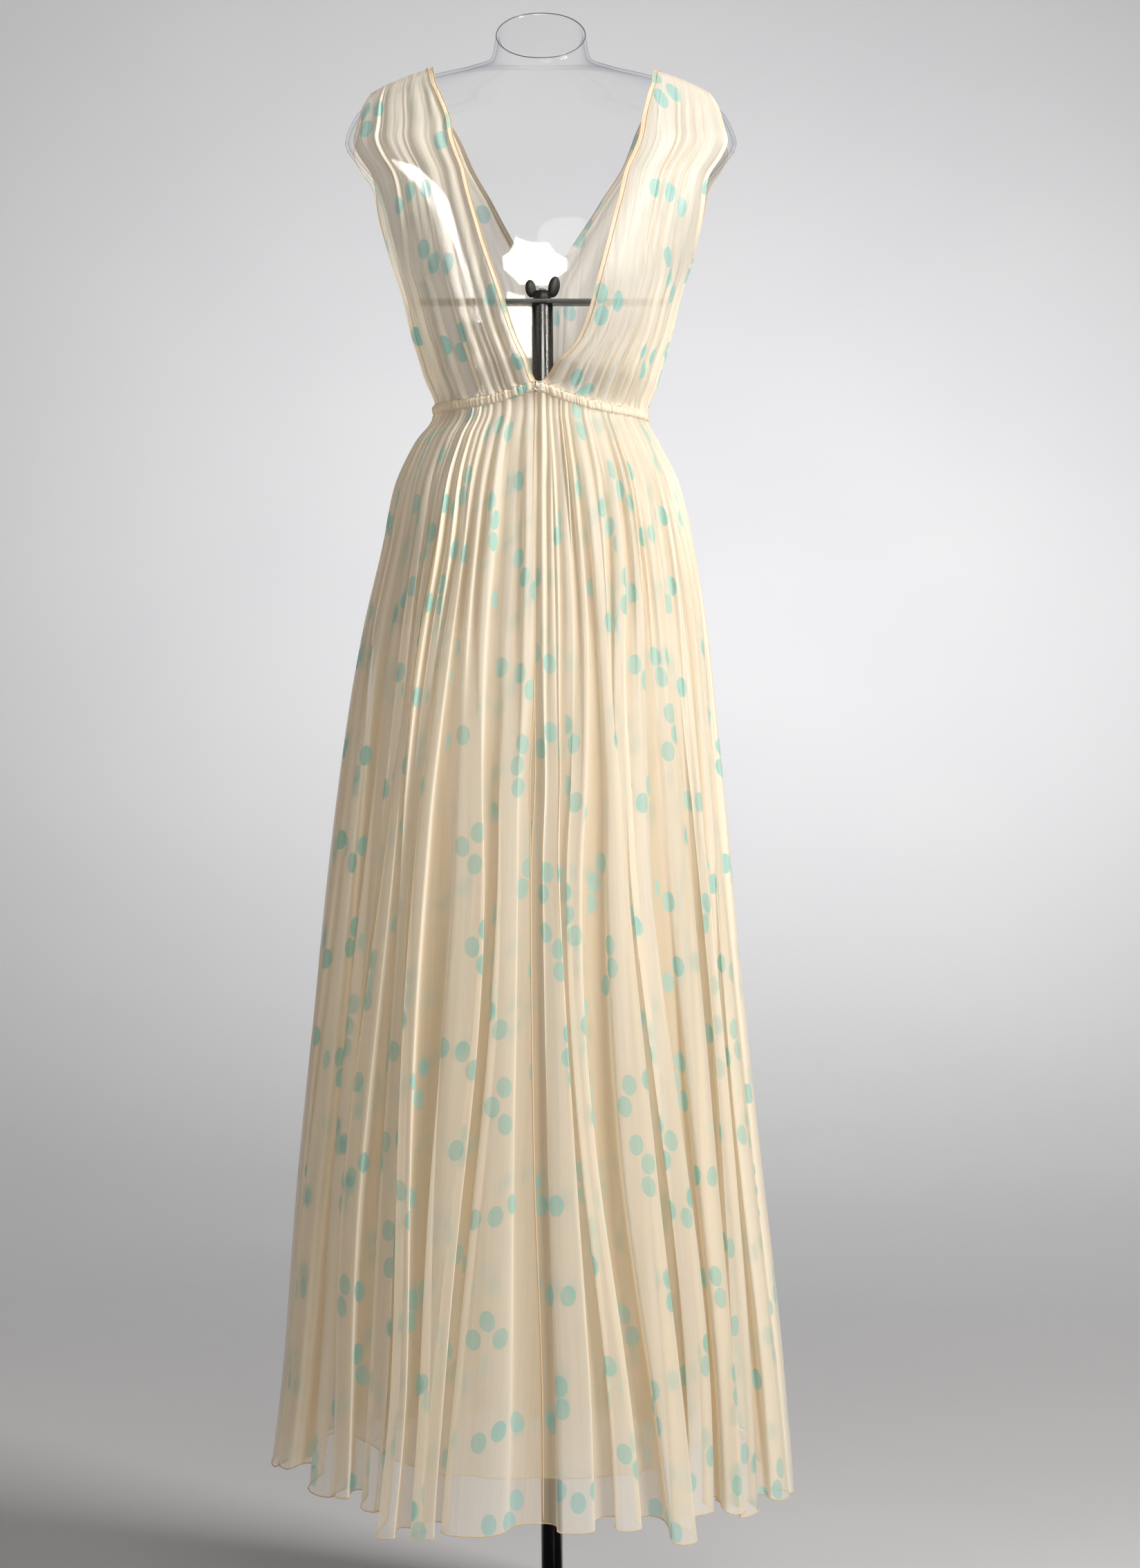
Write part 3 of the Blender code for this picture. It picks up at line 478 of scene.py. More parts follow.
def chiffon(name, ground, ink, glow, opacity, soft=0.04, ink_cover=0.12, creased=0.2):
    """A sheer printed silk: its ground and ink colours, the light that comes through, its cover."""
    made, add = new_material(name)
    cut = add("UVMap", uv_map="cut")
    mask = dots(add, cut, soft)
    stretched, pulled = (
        add("VectorMath", {0: cut, 1: (1 / width, 1 / length, 0)}, operation="MULTIPLY")
        for width, length in (STREAK, CREASE)
    )
    streaks = add(
        "TexNoise", {"Vector": stretched, "Scale": 1.0, "Detail": 3, "Roughness": 0.6},
        noise_dimensions="2D",
    )
    creases = add(
        "TexNoise",
        {"Vector": pulled, "Scale": 1.0, "Detail": 2, "Roughness": 0.45, "Distortion": 0.3},
        noise_dimensions="2D",
    )
    clouds = add("TexNoise", {"Vector": cut, "Scale": 7.0, "Detail": 2}, noise_dimensions="2D")
    bump = add("Bump", {"Strength": 0.03, "Distance": 0.6 * MM, "Height": streaks})
    bump = add("Bump", {"Strength": creased, "Distance": 3 * MM, "Height": creases, "Normal": bump})
    hollow, bunch = (add("Attribute", attribute_name=label).outputs["Fac"] for label in ("hollow", "bunch"))
    # Hollows between the folds get painted shade: the ground is mixed towards a warm tan by how deep the
    # cloth lies in one.
    painted_fold_shade = add("Math", {0: hollow, 1: 0.5}, operation="MULTIPLY", use_clamp=True)
    paler = add("Mix", {0: clouds, 6: linear(ground), 7: linear("#F8F2E6")}, data_type="RGBA")
    paler = add("Mix", {0: painted_fold_shade, 6: paler, 7: linear("#DDBB8A")}, data_type="RGBA")
    colour = add("Mix", {0: mask, 6: paler, 7: linear(ink)}, data_type="RGBA")
    inner = add("Mix", {0: mask, 6: linear(glow), 7: linear(ink)}, data_type="RGBA")
    face = add("BsdfPrincipled", {
        "Base Color": colour, "Roughness": 0.42, "IOR": 1.5, "Sheen Weight": 0.25,
        "Sheen Roughness": 0.4, "Normal": bump,
    })
    lit_through = add("BsdfTranslucent", {"Color": inner, "Normal": bump})
    cover = add("MapRange", {
        "Value": streaks, "From Min": 0.3, "From Max": 0.7,
        "To Min": opacity - 0.01, "To Max": opacity + 0.01,
    })
    cover = add("Math", {0: bunch, 1: BUNCH_COVER, 2: cover}, operation="MULTIPLY_ADD")
    cover = add("Math", {0: mask, 1: ink_cover, 2: cover}, operation="MULTIPLY_ADD", use_clamp=True)
    cloth = add("MixShader", {0: 0.38, 1: face, 2: lit_through})
    mixed = add("MixShader", {0: cover, 1: add("BsdfTransparent"), 2: cloth})
    add("OutputMaterial", {"Surface": mixed})
    return made


outer_silk = chiffon("printed_silk_chiffon", "#F7EFDF", "#AFD9D0", "#F3E3C6", 0.48)
inner_silk = chiffon(
    "printed_silk_chiffon_inner", "#F3E6CE", "#BADBD0", "#F1D9B4", 0.62, soft=0.22, ink_cover=0.0
)


def chiffon_edge(name, colour, cover):
    """Silk rolled or folded on itself, so it is deeper in colour and hides what is behind it."""
    made, add = new_material(name)
    place = add("TexCoord").outputs["Object"]
    twist = add("TexNoise", {"Vector": place, "Scale": 240, "Detail": 4})
    shade = add("Mix", {0: twist, 6: linear(colour), 7: linear("#F3DFBC")}, data_type="RGBA")
    face = add("BsdfPrincipled", {
        "Base Color": shade, "Roughness": 0.55, "Sheen Weight": 0.2,
        "Normal": add("Bump", {"Strength": 0.5, "Distance": 0.4 * MM, "Height": twist}),
    })
    cloth = add("MixShader", {0: 0.3, 1: face, 2: add("BsdfTranslucent", {"Color": linear(colour)})})
    mixed = add("MixShader", {0: cover, 1: add("BsdfTransparent"), 2: cloth})
    add("OutputMaterial", {"Surface": mixed})
    return made


rolled_silk = chiffon_edge("hand_rolled_silk_edge", "#E2C596", 0.85)
band_silk = chiffon_edge("folded_silk_chiffon_band", "#EBD8B4", 0.55)
thread = chiffon_edge("silk_sewing_thread", "#E3C796", 1.0)


def rolled_edges(name, paths, radius, slot):
    """Hand-rolled edges along several paths, as one mesh."""
    points, faces = np.empty((0, 3)), []
    for path in paths:
        more, more_faces = rolled(path, radius, sides=5, first=len(points))
        points = np.concatenate([points, more])
        faces += more_faces
    return new_object(name, points, faces, rolled_silk, slot)


# Stitches are set along a path by geometry nodes: each is one short, slanting, rounded thread.
STITCH_LENGTH = 2 * MM
THREAD_WIDTH = 0.5 * MM
stitch_tree = bpy.data.node_groups.new("stitches_along_a_path", "GeometryNodeTree")
sockets = {}
for label, kind in (
    ("Path", "Geometry"), ("Spacing", "Float"), ("Length", "Float"), ("Thickness", "Float"),
    ("Slant", "Float"), ("Seed", "Int"), ("Thread", "Material"), ("Stitches", "Geometry"),
):
    going = "OUTPUT" if label == "Stitches" else "INPUT"
    made = stitch_tree.interface.new_socket(label, in_out=going, socket_type=f"NodeSocket{kind}")
    sockets[label] = made.identifier
sew = partial(add_node, stitch_tree)
given = sew("NodeGroupInput").outputs
line = sew("GeometryNodeMeshToCurve", {"Mesh": given["Path"]})
places = sew(
    "GeometryNodeCurveToPoints", {"Curve": line, "Length": given["Spacing"]}, mode="LENGTH"
).outputs
bead = sew("GeometryNodeMeshUVSphere", {"Segments": 6, "Rings": 4, "Radius": 0.5})
size = sew("CombineXYZ", {"X": given["Thickness"], "Y": given["Thickness"], "Z": given["Length"]})
uneven = sew("FunctionNodeRandomValue", {2: 0.8, 3: 1.2, "Seed": given["Seed"]}, data_type="FLOAT")
size = sew("VectorMath", {0: size, "Scale": uneven}, operation="SCALE")
slanting = sew("FunctionNodeAxisAngleToRotation", {"Axis": (1, 0, 0), "Angle": given["Slant"]})
heading = sew(
    "FunctionNodeRotateRotation", {"Rotation": places["Rotation"], "Rotate By": slanting},
    rotation_space="LOCAL",
)
placed = sew(
    "GeometryNodeInstanceOnPoints",
    {"Points": places["Points"], "Instance": bead, "Rotation": heading, "Scale": size},
)
real = sew("GeometryNodeRealizeInstances", {"Geometry": placed})
threaded = sew("GeometryNodeSetMaterial", {"Geometry": real, "Material": given["Thread"]})
sew("NodeGroupOutput", {"Stitches": threaded})


def stitched(name, paths, spacing, slant=0.6):
    """Thread stitches along several paths, as one plain mesh."""
    edges, first = [], 0
    for path in paths:
        edges += [(first + k, first + k + 1) for k in range(len(path) - 1)]
        first += len(path)
    obj = mesh_object(name, np.concatenate(paths), [], edges=edges)
    sewing = obj.modifiers.new("sewing", "NODES")
    sewing.node_group = stitch_tree
    for label, value in (
        ("Spacing", spacing), ("Length", STITCH_LENGTH), ("Thickness", THREAD_WIDTH),
        ("Slant", slant), ("Seed", 7), ("Thread", thread),
    ):
        sewing[sockets[label]] = value
    depsgraph = bpy.context.evaluated_depsgraph_get()
    sewn = bpy.data.meshes.new_from_object(obj.evaluated_get(depsgraph))
    sewn.shade_smooth()
    obj.modifiers.clear()
    obj.data = sewn
    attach(obj, "root")
    return obj


def gathers(along, count, seed, share=None, reach=None, power=1.25, uneven=0.45):
    """Uneven ridges across a cloth: 0 in each valley and up to 1 on a ridge, and how far the cloth
    moves sideways so that each ridge overhangs its valleys, as a share of the way along. Where
    reach is given, each ridge runs out at its own share of the way down, between its two values."""
    chance = np.random.default_rng(seed)
    edges = np.concatenate([[0], np.cumsum(1 + uneven * chance.uniform(-1, 1, count))])
    place = np.interp(along, edges / edges[-1], np.arange(count + 1))
    number = np.clip(place.astype(int), 0, count - 1)
    tall = chance.uniform(0.2, 1.0, count)[number]
    wave = tall * np.clip(np.sin(pi * (place - number)), 0, 1) ** power
    sway = tall * np.sin(4 * pi * (place - number - 0.5)) * np.diff(edges)[number] / edges[-1]
    if reach is None:
        return wave, sway
    end = chance.uniform(reach[0], reach[1], count)[number]
    left = 1 - ramp(share, 0.45 * end, 1.35 * end)
    return wave * left, sway * left


def lengths(points, axis):
    """How far along the cloth each point lies, by rows (axis 0) or by columns (axis 1)."""
    steps = np.linalg.norm(np.diff(points, axis=axis), axis=-1)
    zero = np.zeros_like(np.take(steps, [0], axis=axis))
    return np.concatenate([zero, np.cumsum(steps, axis=axis)], axis=axis)


def averaged(values, reach, mode):
    """Each row's moving average over this many columns to each side."""
    total = np.cumsum(np.pad(values, ((0, 0), (reach + 1, reach), (0, 0)), mode=mode), axis=1)
    return (total[:, 2 * reach + 1 :] - total[:, : -2 * reach - 1]) / (2 * reach + 1)


def folding(points, around):
    """How far the cloth turns out of the body's own direction (0 where it is flat, 1 edge on),
    and how far it lies in a hollow between folds (1) or on top of one (-1)."""
    mode = "wrap" if around else "edge"
    beside = np.pad(points, ((0, 0), (1, 1), (0, 0)), mode=mode)
    normal = np.cross(beside[:, 2:] - beside[:, :-2], np.gradient(points, axis=0))
    normal /= np.linalg.norm(normal, axis=-1, keepdims=True) + 1e-12
    whole = averaged(normal, points.shape[1] // 8, mode)
    whole /= np.linalg.norm(whole, axis=-1, keepdims=True) + 1e-12
    inward = np.sum((points - averaged(points, 9, mode)) * whole, axis=-1)
    inward *= -np.sign(np.mean(np.sum(whole[..., :2] * points[..., :2], axis=-1)))
    return 1 - np.abs(np.sum(normal * whole, axis=-1)), np.clip(inward / HOLLOW, -1, 1)


def silk_sheet(name, points, material, slot, node, cut=None, around=False):
    """One layer of cloth through a grid of points, with its flat cut as a UV map in metres.
    cut is (across at each face's first column, across at its second, down)."""
    rows, columns = points.shape[:2]
    if cut is None:
        across = lengths(points, 1)
        across -= across[:, columns // 2][:, None]
        cut = across[:, :-1], across[:, 1:], lengths(points, 0)
    start, end, down = cut
    faces = grid_faces(rows, columns, around)
    obj = new_object(name, points.reshape(-1, 3), faces, material, slot, [node])
    nxt = np.roll(down, -1, axis=1) if around else down[:, 1:]
    here = down if around else down[:, :-1]
    corners = [
        np.stack([start[:-1], here[:-1]], -1), np.stack([start[1:], here[1:]], -1),
        np.stack([end[1:], nxt[1:]], -1), np.stack([end[:-1], nxt[:-1]], -1),
    ]
    layer = obj.data.uv_layers.new(name="cut")
    layer.data.foreach_set("uv", np.stack(corners, axis=2).reshape(-1).astype(np.float32))
    for label, values in zip(("bunch", "hollow"), folding(points, around)):
        attribute = obj.data.attributes.new(label, "FLOAT", "POINT")
        attribute.data.foreach_set("value", values.reshape(-1).astype(np.float32))
    return obj


# Waist seam: level behind, a touch lower on the right, rising to a point at the centre front.
WAIST_HEIGHT = 1.2855
WAIST_TILT = 0.035
WAIST_PEAK = 18.5 * MM
WAIST_PEAK_WIDTH = 36 * MM
CENTRE_FRONT = -3 * MM
CASING_HEIGHT = 8 * MM
CASING_DEPTH = 5.4 * MM
CASING_INSIDE = 2.2 * MM
WAIST_HALF = 0.1040


def waist_height(angle):
    """The height of the waist seam's middle."""
    x = WAIST_HALF * np.sin(np.radians(angle))
    rise = WAIST_PEAK * np.exp(-((np.abs(x - CENTRE_FRONT) / WAIST_PEAK_WIDTH) ** 1.3))
    return WAIST_HEIGHT - WAIST_TILT * x + rise * np.maximum(np.cos(np.radians(angle)), 0)


# Skirt: two fronts and a back, flared, gathered by hand into the waist casing and left to fall.
# The gathers run out one by one into broad soft folds that lean on each other like loose pleats.
# The fronts are left open down the centre; every free edge is rolled and whipped by hand.
HEM_HEIGHT = 0.205
SCALLOP = 17 * MM
FOLD_DEPTH = 0.30
LEAN = 1.2
OVERHANG = 0.17
FINE_DEPTH = 5.6 * MM
MIDDLE_DEPTH = 8.5 * MM
SKIRT_ABOVE_FORM = 7.2 * MM
WAIST_SEAM = 0.5 * MM
WANDER = 2.2
SKIRT_ROWS = 110
COLUMNS_A_FOLD = 30
SLIT_HEIGHT = 0.90
SLIT_REACH = 0.055
SLIT_GAP = 5 * MM
SLIT_FAN = (6, 9)
SEAM_TURN = 0.08
Outline = namedtuple("Outline", "height left right front back")
SKIRT = [Outline(*row) for row in (
    (1.300, 0.1105, 0.1105, 0.0900, 0.0830),
    (1.282, 0.1120, 0.1110, 0.0910, 0.0845),
    (1.2577, 0.1300, 0.1225, 0.0985, 0.0935),
    (1.213, 0.1527, 0.1455, 0.1150, 0.1150),
    (1.140, 0.1720, 0.1660, 0.1350, 0.1400),
    (1.069, 0.1890, 0.1775, 0.1480, 0.1550),
    (0.980, 0.2040, 0.1870, 0.1640, 0.1700),
    (0.860, 0.2187, 0.1995, 0.1840, 0.1880),
    (0.700, 0.2357, 0.2150, 0.2110, 0.2130),
    (0.500, 0.2545, 0.2345, 0.2400, 0.2420),
    (0.316, 0.2670, 0.2528, 0.2610, 0.2620),
    (0.180, 0.2830, 0.2640, 0.2740, 0.2740),
)]
Fold = namedtuple("Fold", "piece width depth inset lean drop")
# Degrees wide, how deep for its width, mm inside the outline, how far it leans, mm the hem drops
FOLDS = [Fold(piece, *row) for piece, rows in (
    ("skirt_front_right", (
        (7, 0.8, 3, 0.10, 6), (8, 0.9, 0, -0.12, 0), (13, 1.0, 0, 0.18, 19), (10, 0.8, 4, -0.10, -3),
        (12, 1.0, 1, 0.15, -2), (12, 0.9, 3, -0.15, 7), (14, 1.1, 0, 0.10, 5), (14, 0.8, 1, -0.08, 8),
    )),
    ("skirt_back", (
        (14, 1.0, 0, 0.12, -12), (11, 0.9, 4, -0.10, -20), (14, 1.0, 1, 0.16, -8),
        (12, 0.8, 3, -0.14, -15), (15, 1.1, 0, 0.10, -4), (11, 0.9, 5, -0.12, -10),
        (13, 1.0, 1, 0.14, 0), (12, 0.8, 2, 0.10, -6), (14, 1.0, 0, -0.15, -12), (12, 0.9, 4, 0.12, -4),
        (13, 1.1, 1, -0.10, -14), (12, 0.8, 3, 0.14, -8), (13, 1.0, 0, -0.12, -16),
        (14, 0.9, 1, 0.10, -22),
    )),
    ("skirt_front_left", (
        (16, 0.9, 0, 0.10, -25), (16, 1.0, 2, -0.12, -27), (12, 0.9, 4, 0.14, -14),
        (8.5, 0.8, 1, -0.10, -16), (7.5, 0.8, 5, 0.12, -9), (7, 0.8, 0, -0.10, 17),
        (13, 1.0, 1, 0.15, 13), (10, 0.9, 2, -0.08, 7),
    )),
) for row in rows]
Path = namedtuple("Path", "height x")
# Where the two fronts meet, from the waist to the hem
SLIT = [Path(*row) for row in (
    (1.310, -0.0030),
    (0.970, -0.0055),
    (0.820, -0.0085),
    (0.550, -0.0050),
    (0.300, 0.0040),
    (0.150, 0.0050),
)]


def skirt_reach(height):
    """The skirt's reach to the right, left, front and back, never inside the form's."""
    outline = [at_height(SKIRT, side, height) for side in ("right", "left", "front", "back")]
    half_width, front, back = (reach + SKIRT_ABOVE_FORM for reach in form_reach(height))
    near = (half_width, half_width, front, back)
    above = height >= FORM[-1].height
    return [np.where(above, np.maximum(a, b), a) for a, b in zip(outline, near)]


def fold_share(share):
    """How much of its full depth a fold has, at a share of the way down the skirt."""
    return 0.9 * ramp(share, -0.05, 0.75) * np.minimum(share * 3, 1.0) + 0.1 * share


def slit_angle(height, side):
    """The angle of a front's centre edge, on the right (1) or on the left (-1)."""
    gap = SEAM + SLIT_GAP * np.exp(-(((height - SLIT_HEIGHT) / SLIT_REACH) ** 2))
    x = at_height(SLIT, "x", height) + side * gap / 2
    right, left = skirt_reach(height)[:2]
    part = np.abs(x) / np.where(x > 0, right, left)
    return np.sign(x) * np.degrees(np.arcsin(part ** (SQUARENESS / 2)))


def draped(angle, height, sides, let_in):
    """Points of a surface round the body, let in from its outline by this much."""
    here = section_points(angle, *sides, height)
    step = section_points(angle + 0.5, *sides, height) - section_points(angle - 0.5, *sides, height)
    out = np.stack([step[..., 1], -step[..., 0], np.zeros_like(step[..., 0])], axis=-1)
    return here - unit(out) * let_in[..., None]


share = np.linspace(0, 1, SKIRT_ROWS)[:, None] ** 1.2
chance = np.random.default_rng(11)
sharpness = chance.uniform(0.9, 1.9, len(FOLDS))
broadness = chance.uniform(-0.03, 0.09, len(FOLDS))
table = np.array([fold[1:] for fold in FOLDS], dtype=float)
table[:, 1] *= chance.uniform(0.5, 1.25, len(FOLDS))
starts = np.concatenate([[0], np.cumsum(table[:, 0])])
for piece in ("skirt_front_right", "skirt_back", "skirt_front_left"):
    numbers = [k for k, fold in enumerate(FOLDS) if fold.piece == piece]
    part = np.arange(len(numbers) * COLUMNS_A_FOLD + 1) / COLUMNS_A_FOLD
    within = np.minimum(part.astype(int), len(numbers) - 1)
    number = within + numbers[0]
    part = part - within
    ridge = 0.5 - 0.5 * np.cos(2 * pi * part)
    other = (number + np.where(part < 0.5, -1, 1)) % len(FOLDS)
    here, there = table[number], table[other]
    blend = ridge[:, None] * here + (1 - ridge[:, None]) * (here + there) / 2
    width, depth, inset, drop = blend[:, 0], blend[:, 1], blend[:, 2] * MM, blend[:, 4] * MM
    drop = drop + SCALLOP * depth * (ridge - 0.5)
    angle = starts[number] + here[:, 0] * part
    along = (number + part) / len(FOLDS)
    first, last = angle[0], angle[-1]
    fine, _ = gathers(along, 3 * len(FOLDS), 21, share, (0.04, 0.28), power=1.2, uneven=0.75)
    middle, sway = gathers(along, 2 * len(FOLDS), 22, share, (0.22, 0.9), power=1.5, uneven=0.7)
    lean = here[:, 3] * ridge * LEAN + broadness[number] * np.sin(2 * pi * (part - 0.5))
    lean = here[:, 0] * (lean + OVERHANG * np.sin(4 * pi * (part - 0.5))) * fold_share(share)
    drift = np.sin(angle / 9.7 + 5.1 * share) + 0.6 * np.sin(angle / 4.3 - 7.9 * share)
    drift = WANDER * drift * ramp(share, 0.02, 0.3) + 360 * 0.13 * sway * ramp(share, 0.04, 0.2)
    from_slit = np.minimum(angle, 360 - angle)
    drift = drift * np.minimum(1, from_slit / 15)
    fan = np.where(angle < 180, SLIT_FAN[0], -SLIT_FAN[1]) * ramp(share, 0.35, 1.0)
    drift = drift + fan * ramp(from_slit, 0, 8) * (1 - ramp(from_slit, 10, 50))
    across = (angle + lean + drift - first) / (last - first)
    level = WAIST_HEIGHT + (HEM_HEIGHT - WAIST_HEIGHT) * share
    start = slit_angle(level, 1) if first == 0 else first + SEAM_TURN
    end = 360 + slit_angle(level, -1) if last == 360 else last - SEAM_TURN
    turn = start + (end - start) * across
    top = waist_height(turn) - CASING_HEIGHT / 2 - WAIST_SEAM
    height = top + (HEM_HEIGHT - drop - top) * share
    sides = skirt_reach(height)
    arc = np.radians(width) * sum(sides) / 4
    valley = (0.5 + 0.5 * np.cos(2 * pi * part)) ** sharpness[number]
    let_in = 2 * FOLD_DEPTH * depth * arc * fold_share(share) * valley
    fine_share = (0.6 + 0.4 * ramp(share, 0, 0.06)) * ramp(0.6 - share, 0, 0.5)
    let_in = let_in + FINE_DEPTH * fine_share * (1 - fine)
    let_in += MIDDLE_DEPTH * ramp(share, 0.01, 0.14) * (1 - 0.7 * ramp(share, 0.4, 0.9)) * (1 - middle)
    let_in += inset * ridge * fold_share(share)
    points = draped(turn, height, sides, let_in)
    width_here = lengths(points, 1)
    folds_middle = (number - numbers[0]) * COLUMNS_A_FOLD + COLUMNS_A_FOLD // 2
    squeeze = 1 + 0.35 * (1 - ramp(share, 0.0, 0.3))
    own = (width_here - width_here[:, folds_middle]) * squeeze
    start_u = own + width_here[-1, folds_middle]
    before = np.maximum(folds_middle[1:] - np.where(part[1:] == 0, COLUMNS_A_FOLD, 0), 0)
    end_u = (width_here[:, 1:] - width_here[:, before]) * squeeze + width_here[-1, before]
    cut = start_u[:, :-1] + starts[numbers[0]] * 0.01, end_u + starts[numbers[0]] * 0.01
    cloth = silk_sheet(
        f"{piece}_chiffon", points, outer_silk, "chiffon", piece, (*cut, WAIST_HEIGHT - height)
    )
    edges = [points[-1]]
    if first == 0:
        edges.append(points[:, 0])
    if last == 360:
        edges.append(points[:, -1])
    hem = rolled_edges(f"{piece}_rolled_edge", edges, 0.6 * MM, "chiffon")
    whipping = stitched(f"{piece}_whipping", edges, 5 * MM)

# Underskirt: one round layer of the same silk, cut narrower and shorter, caught in the casing.
# It shows in the slit and through the skirt, where the layer in front softens its print.
UNDER_HEM = 0.236
UNDER_HEM_RISE = 0.050
UNDER_FOLDS = 24
UNDER_COLUMNS = 384
UNDER_ROWS = 70
UNDER_WAVE = 5 * MM
VALLEY_MARGIN = 3 * MM
LAYER_GAP = 2.0 * MM

share = np.linspace(0, 1, UNDER_ROWS)[:, None] ** 1.2
angle = np.arange(UNDER_COLUMNS) * 360 / UNDER_COLUMNS
top = waist_height(angle) - CASING_HEIGHT / 2 - WAIST_SEAM
bottom = UNDER_HEM + UNDER_HEM_RISE * np.sin(np.radians(angle)) ** 4
height = top + (bottom - top) * share
sides = skirt_reach(height)
deepest = max(fold.width * fold.depth for fold in FOLDS)
arc = radians(deepest) * sum(sides) / 4
inside = (2 * FOLD_DEPTH * arc + VALLEY_MARGIN) * fold_share(share)
upper = 4 * MM + 7 * MM * ramp(share, 0.01, 0.1)
inside = inside + upper * (1 - 0.7 * ramp(share, 0.25, 0.8)) + LAYER_GAP
half_width, front, back = form_reach(height)
on_form = height > FORM[-1].height
sides = [
    np.where(on_form, np.maximum(side - inside, skin + 1.5 * MM), side - inside)
    for side, skin in zip(sides, (half_width, half_width, front, back))
]
wave, _ = gathers(angle / 360, UNDER_FOLDS, 31, power=1.6)
small, _ = gathers(angle / 360, 3 * UNDER_FOLDS, 32, share, (0.2, 1.2))
let_in = 2 * UNDER_WAVE * ramp(share, 0.10, 0.8) * (1 - wave)
let_in = let_in + 1.5 * MM * ramp(share, 0.05, 0.2) * (1 - small)
points = draped(angle, height, sides, let_in)
closed_row = np.concatenate([points, points[:, :1]], axis=1)
across = lengths(closed_row, 1) * 1.15
down = WAIST_HEIGHT - height
lining = silk_sheet(
    "underskirt_chiffon", points, inner_silk, "underskirt_chiffon", "underskirt",
    (across[:, :-1], across[:, 1:], down), around=True,
)
hem_line = np.concatenate([points[-1], points[-1][:1]])
hem = rolled_edges("underskirt_rolled_hem", [hem_line], 0.6 * MM, "underskirt_chiffon")
whipping = stitched("underskirt_whipping", [hem_line], 5 * MM)

# Bodice: two fronts and two backs, each one layer gathered along the shoulder and again at the waist.
# The front V opens to the waist and the back V to the shoulder blades, and the cloth lies on the form.
BODICE_ROWS = 92
BODICE_COLUMNS = 150
SHOULDER_LIFT = 5 * MM
BROAD_FOLDS = 6
MEDIUM_FOLDS = 10
FINE_FOLDS = 17
SHOULDER_FOLDS = 10
BROAD_DEPTH = 3.6 * MM
SHOULDER_DEPTH = 0.9 * MM
WAIST_DEPTH = 6.5 * MM
Ease = namedtuple("Ease", "height side front back")
# How far outside the form the folds stand at each height
BODICE_EASE = [Ease(*row) for row in (
    (1.6500, 0.0050, 0.0045, 0.0045),
    (1.5800, 0.0050, 0.0050, 0.0050),
    (1.5450, 0.0140, 0.0060, 0.0055),
    (1.5040, 0.0185, 0.0075, 0.0065),
    (1.4620, 0.0130, 0.0075, 0.0075),
    (1.4090, 0.0085, 0.0075, 0.0085),
    (1.3530, 0.0145, 0.0120, 0.0125),
    (1.3210, 0.0145, 0.0155, 0.0155),
    (1.3040, 0.0110, 0.0115, 0.0115),
    (1.2910, 0.0072, 0.0072, 0.0072),
)]
bodice_silk = chiffon("printed_silk_chiffon_bodice", "#FAF1DF", "#AFD9D0", "#F5E6CA", 0.62, creased=0.5)
RIDGE = 1.0
Row = namedtuple("Row", "arm_height front_arm back_arm front_right front_left back_right back_left")
# From the shoulder's ridge down to the casing: the height of the armhole's edge, and then the side
# seam's, its angle in front and behind, and the height and x of each half's neckline
BODICE = [Row(*row) for row in (
    (1.6150, 90, 90, (1.6378, RIDGE), (1.6395, RIDGE), (1.6378, RIDGE), (1.6395, RIDGE)),
    (1.6146, 85, 86, (1.6360, 0.1172), (1.6375, 0.1105), (1.6360, 0.1172), (1.6375, 0.1105)),
    (1.6135, 80, 82, (1.6285, 0.1140), (1.6285, 0.1080), (1.6285, 0.1150), (1.6285, 0.1080)),
    (1.6000, 70, 74, (1.6000, 0.1080), (1.6000, 0.0990), (1.6000, 0.1040), (1.6000, 0.0950)),
    (1.5650, 66, 70, (1.5577, 0.1000), (1.5660, 0.0890), (1.5706, 0.0920), (1.5700, 0.0790)),
    (1.5200, 66, 70, (1.5120, 0.0835), (1.5030, 0.0716), (1.5200, 0.0620), (1.5200, 0.0520)),
    (1.4700, 76, 78, (1.4396, 0.0664), (1.4450, 0.0554), (1.4706, 0.0290), (1.4706, 0.0250)),
    (1.4250, 90, 90, (1.3904, 0.0545), (1.3950, 0.0390), (1.4210, SEAM), (1.4210, SEAM)),
    (1.3700, 90, 90, (1.3480, 0.0390), (1.3520, 0.0250), (1.3650, SEAM), (1.3650, SEAM)),
    (1.3250, 90, 90, (1.3250, 0.0180), (1.3280, 0.0140), (1.3250, SEAM), (1.3250, SEAM)),
    (1.2910, 90, 90, (1.3080, CENTRE_FRONT + SEAM), (1.3080, -CENTRE_FRONT + SEAM), (1.2910, SEAM),
        (1.2910, SEAM)),
)]


def bodice_points(angle, height):
    """The bodice's surface over the tops of its folds. On the shoulders it is the form's, lifted."""
    raised = waist_height(angle) - WAIST_HEIGHT
    eased = height - raised * (1 - ramp(height, 1.31, 1.37))
    half_width, front, back = form_reach(height - SHOULDER_LIFT * ramp(height, 1.54, 1.59))
    half_width = half_width + at_height(BODICE_EASE, "side", eased)
    front = front + at_height(BODICE_EASE, "front", eased)
    back = back + at_height(BODICE_EASE, "back", eased)
    return section_points(angle, half_width, half_width, front, back, height)


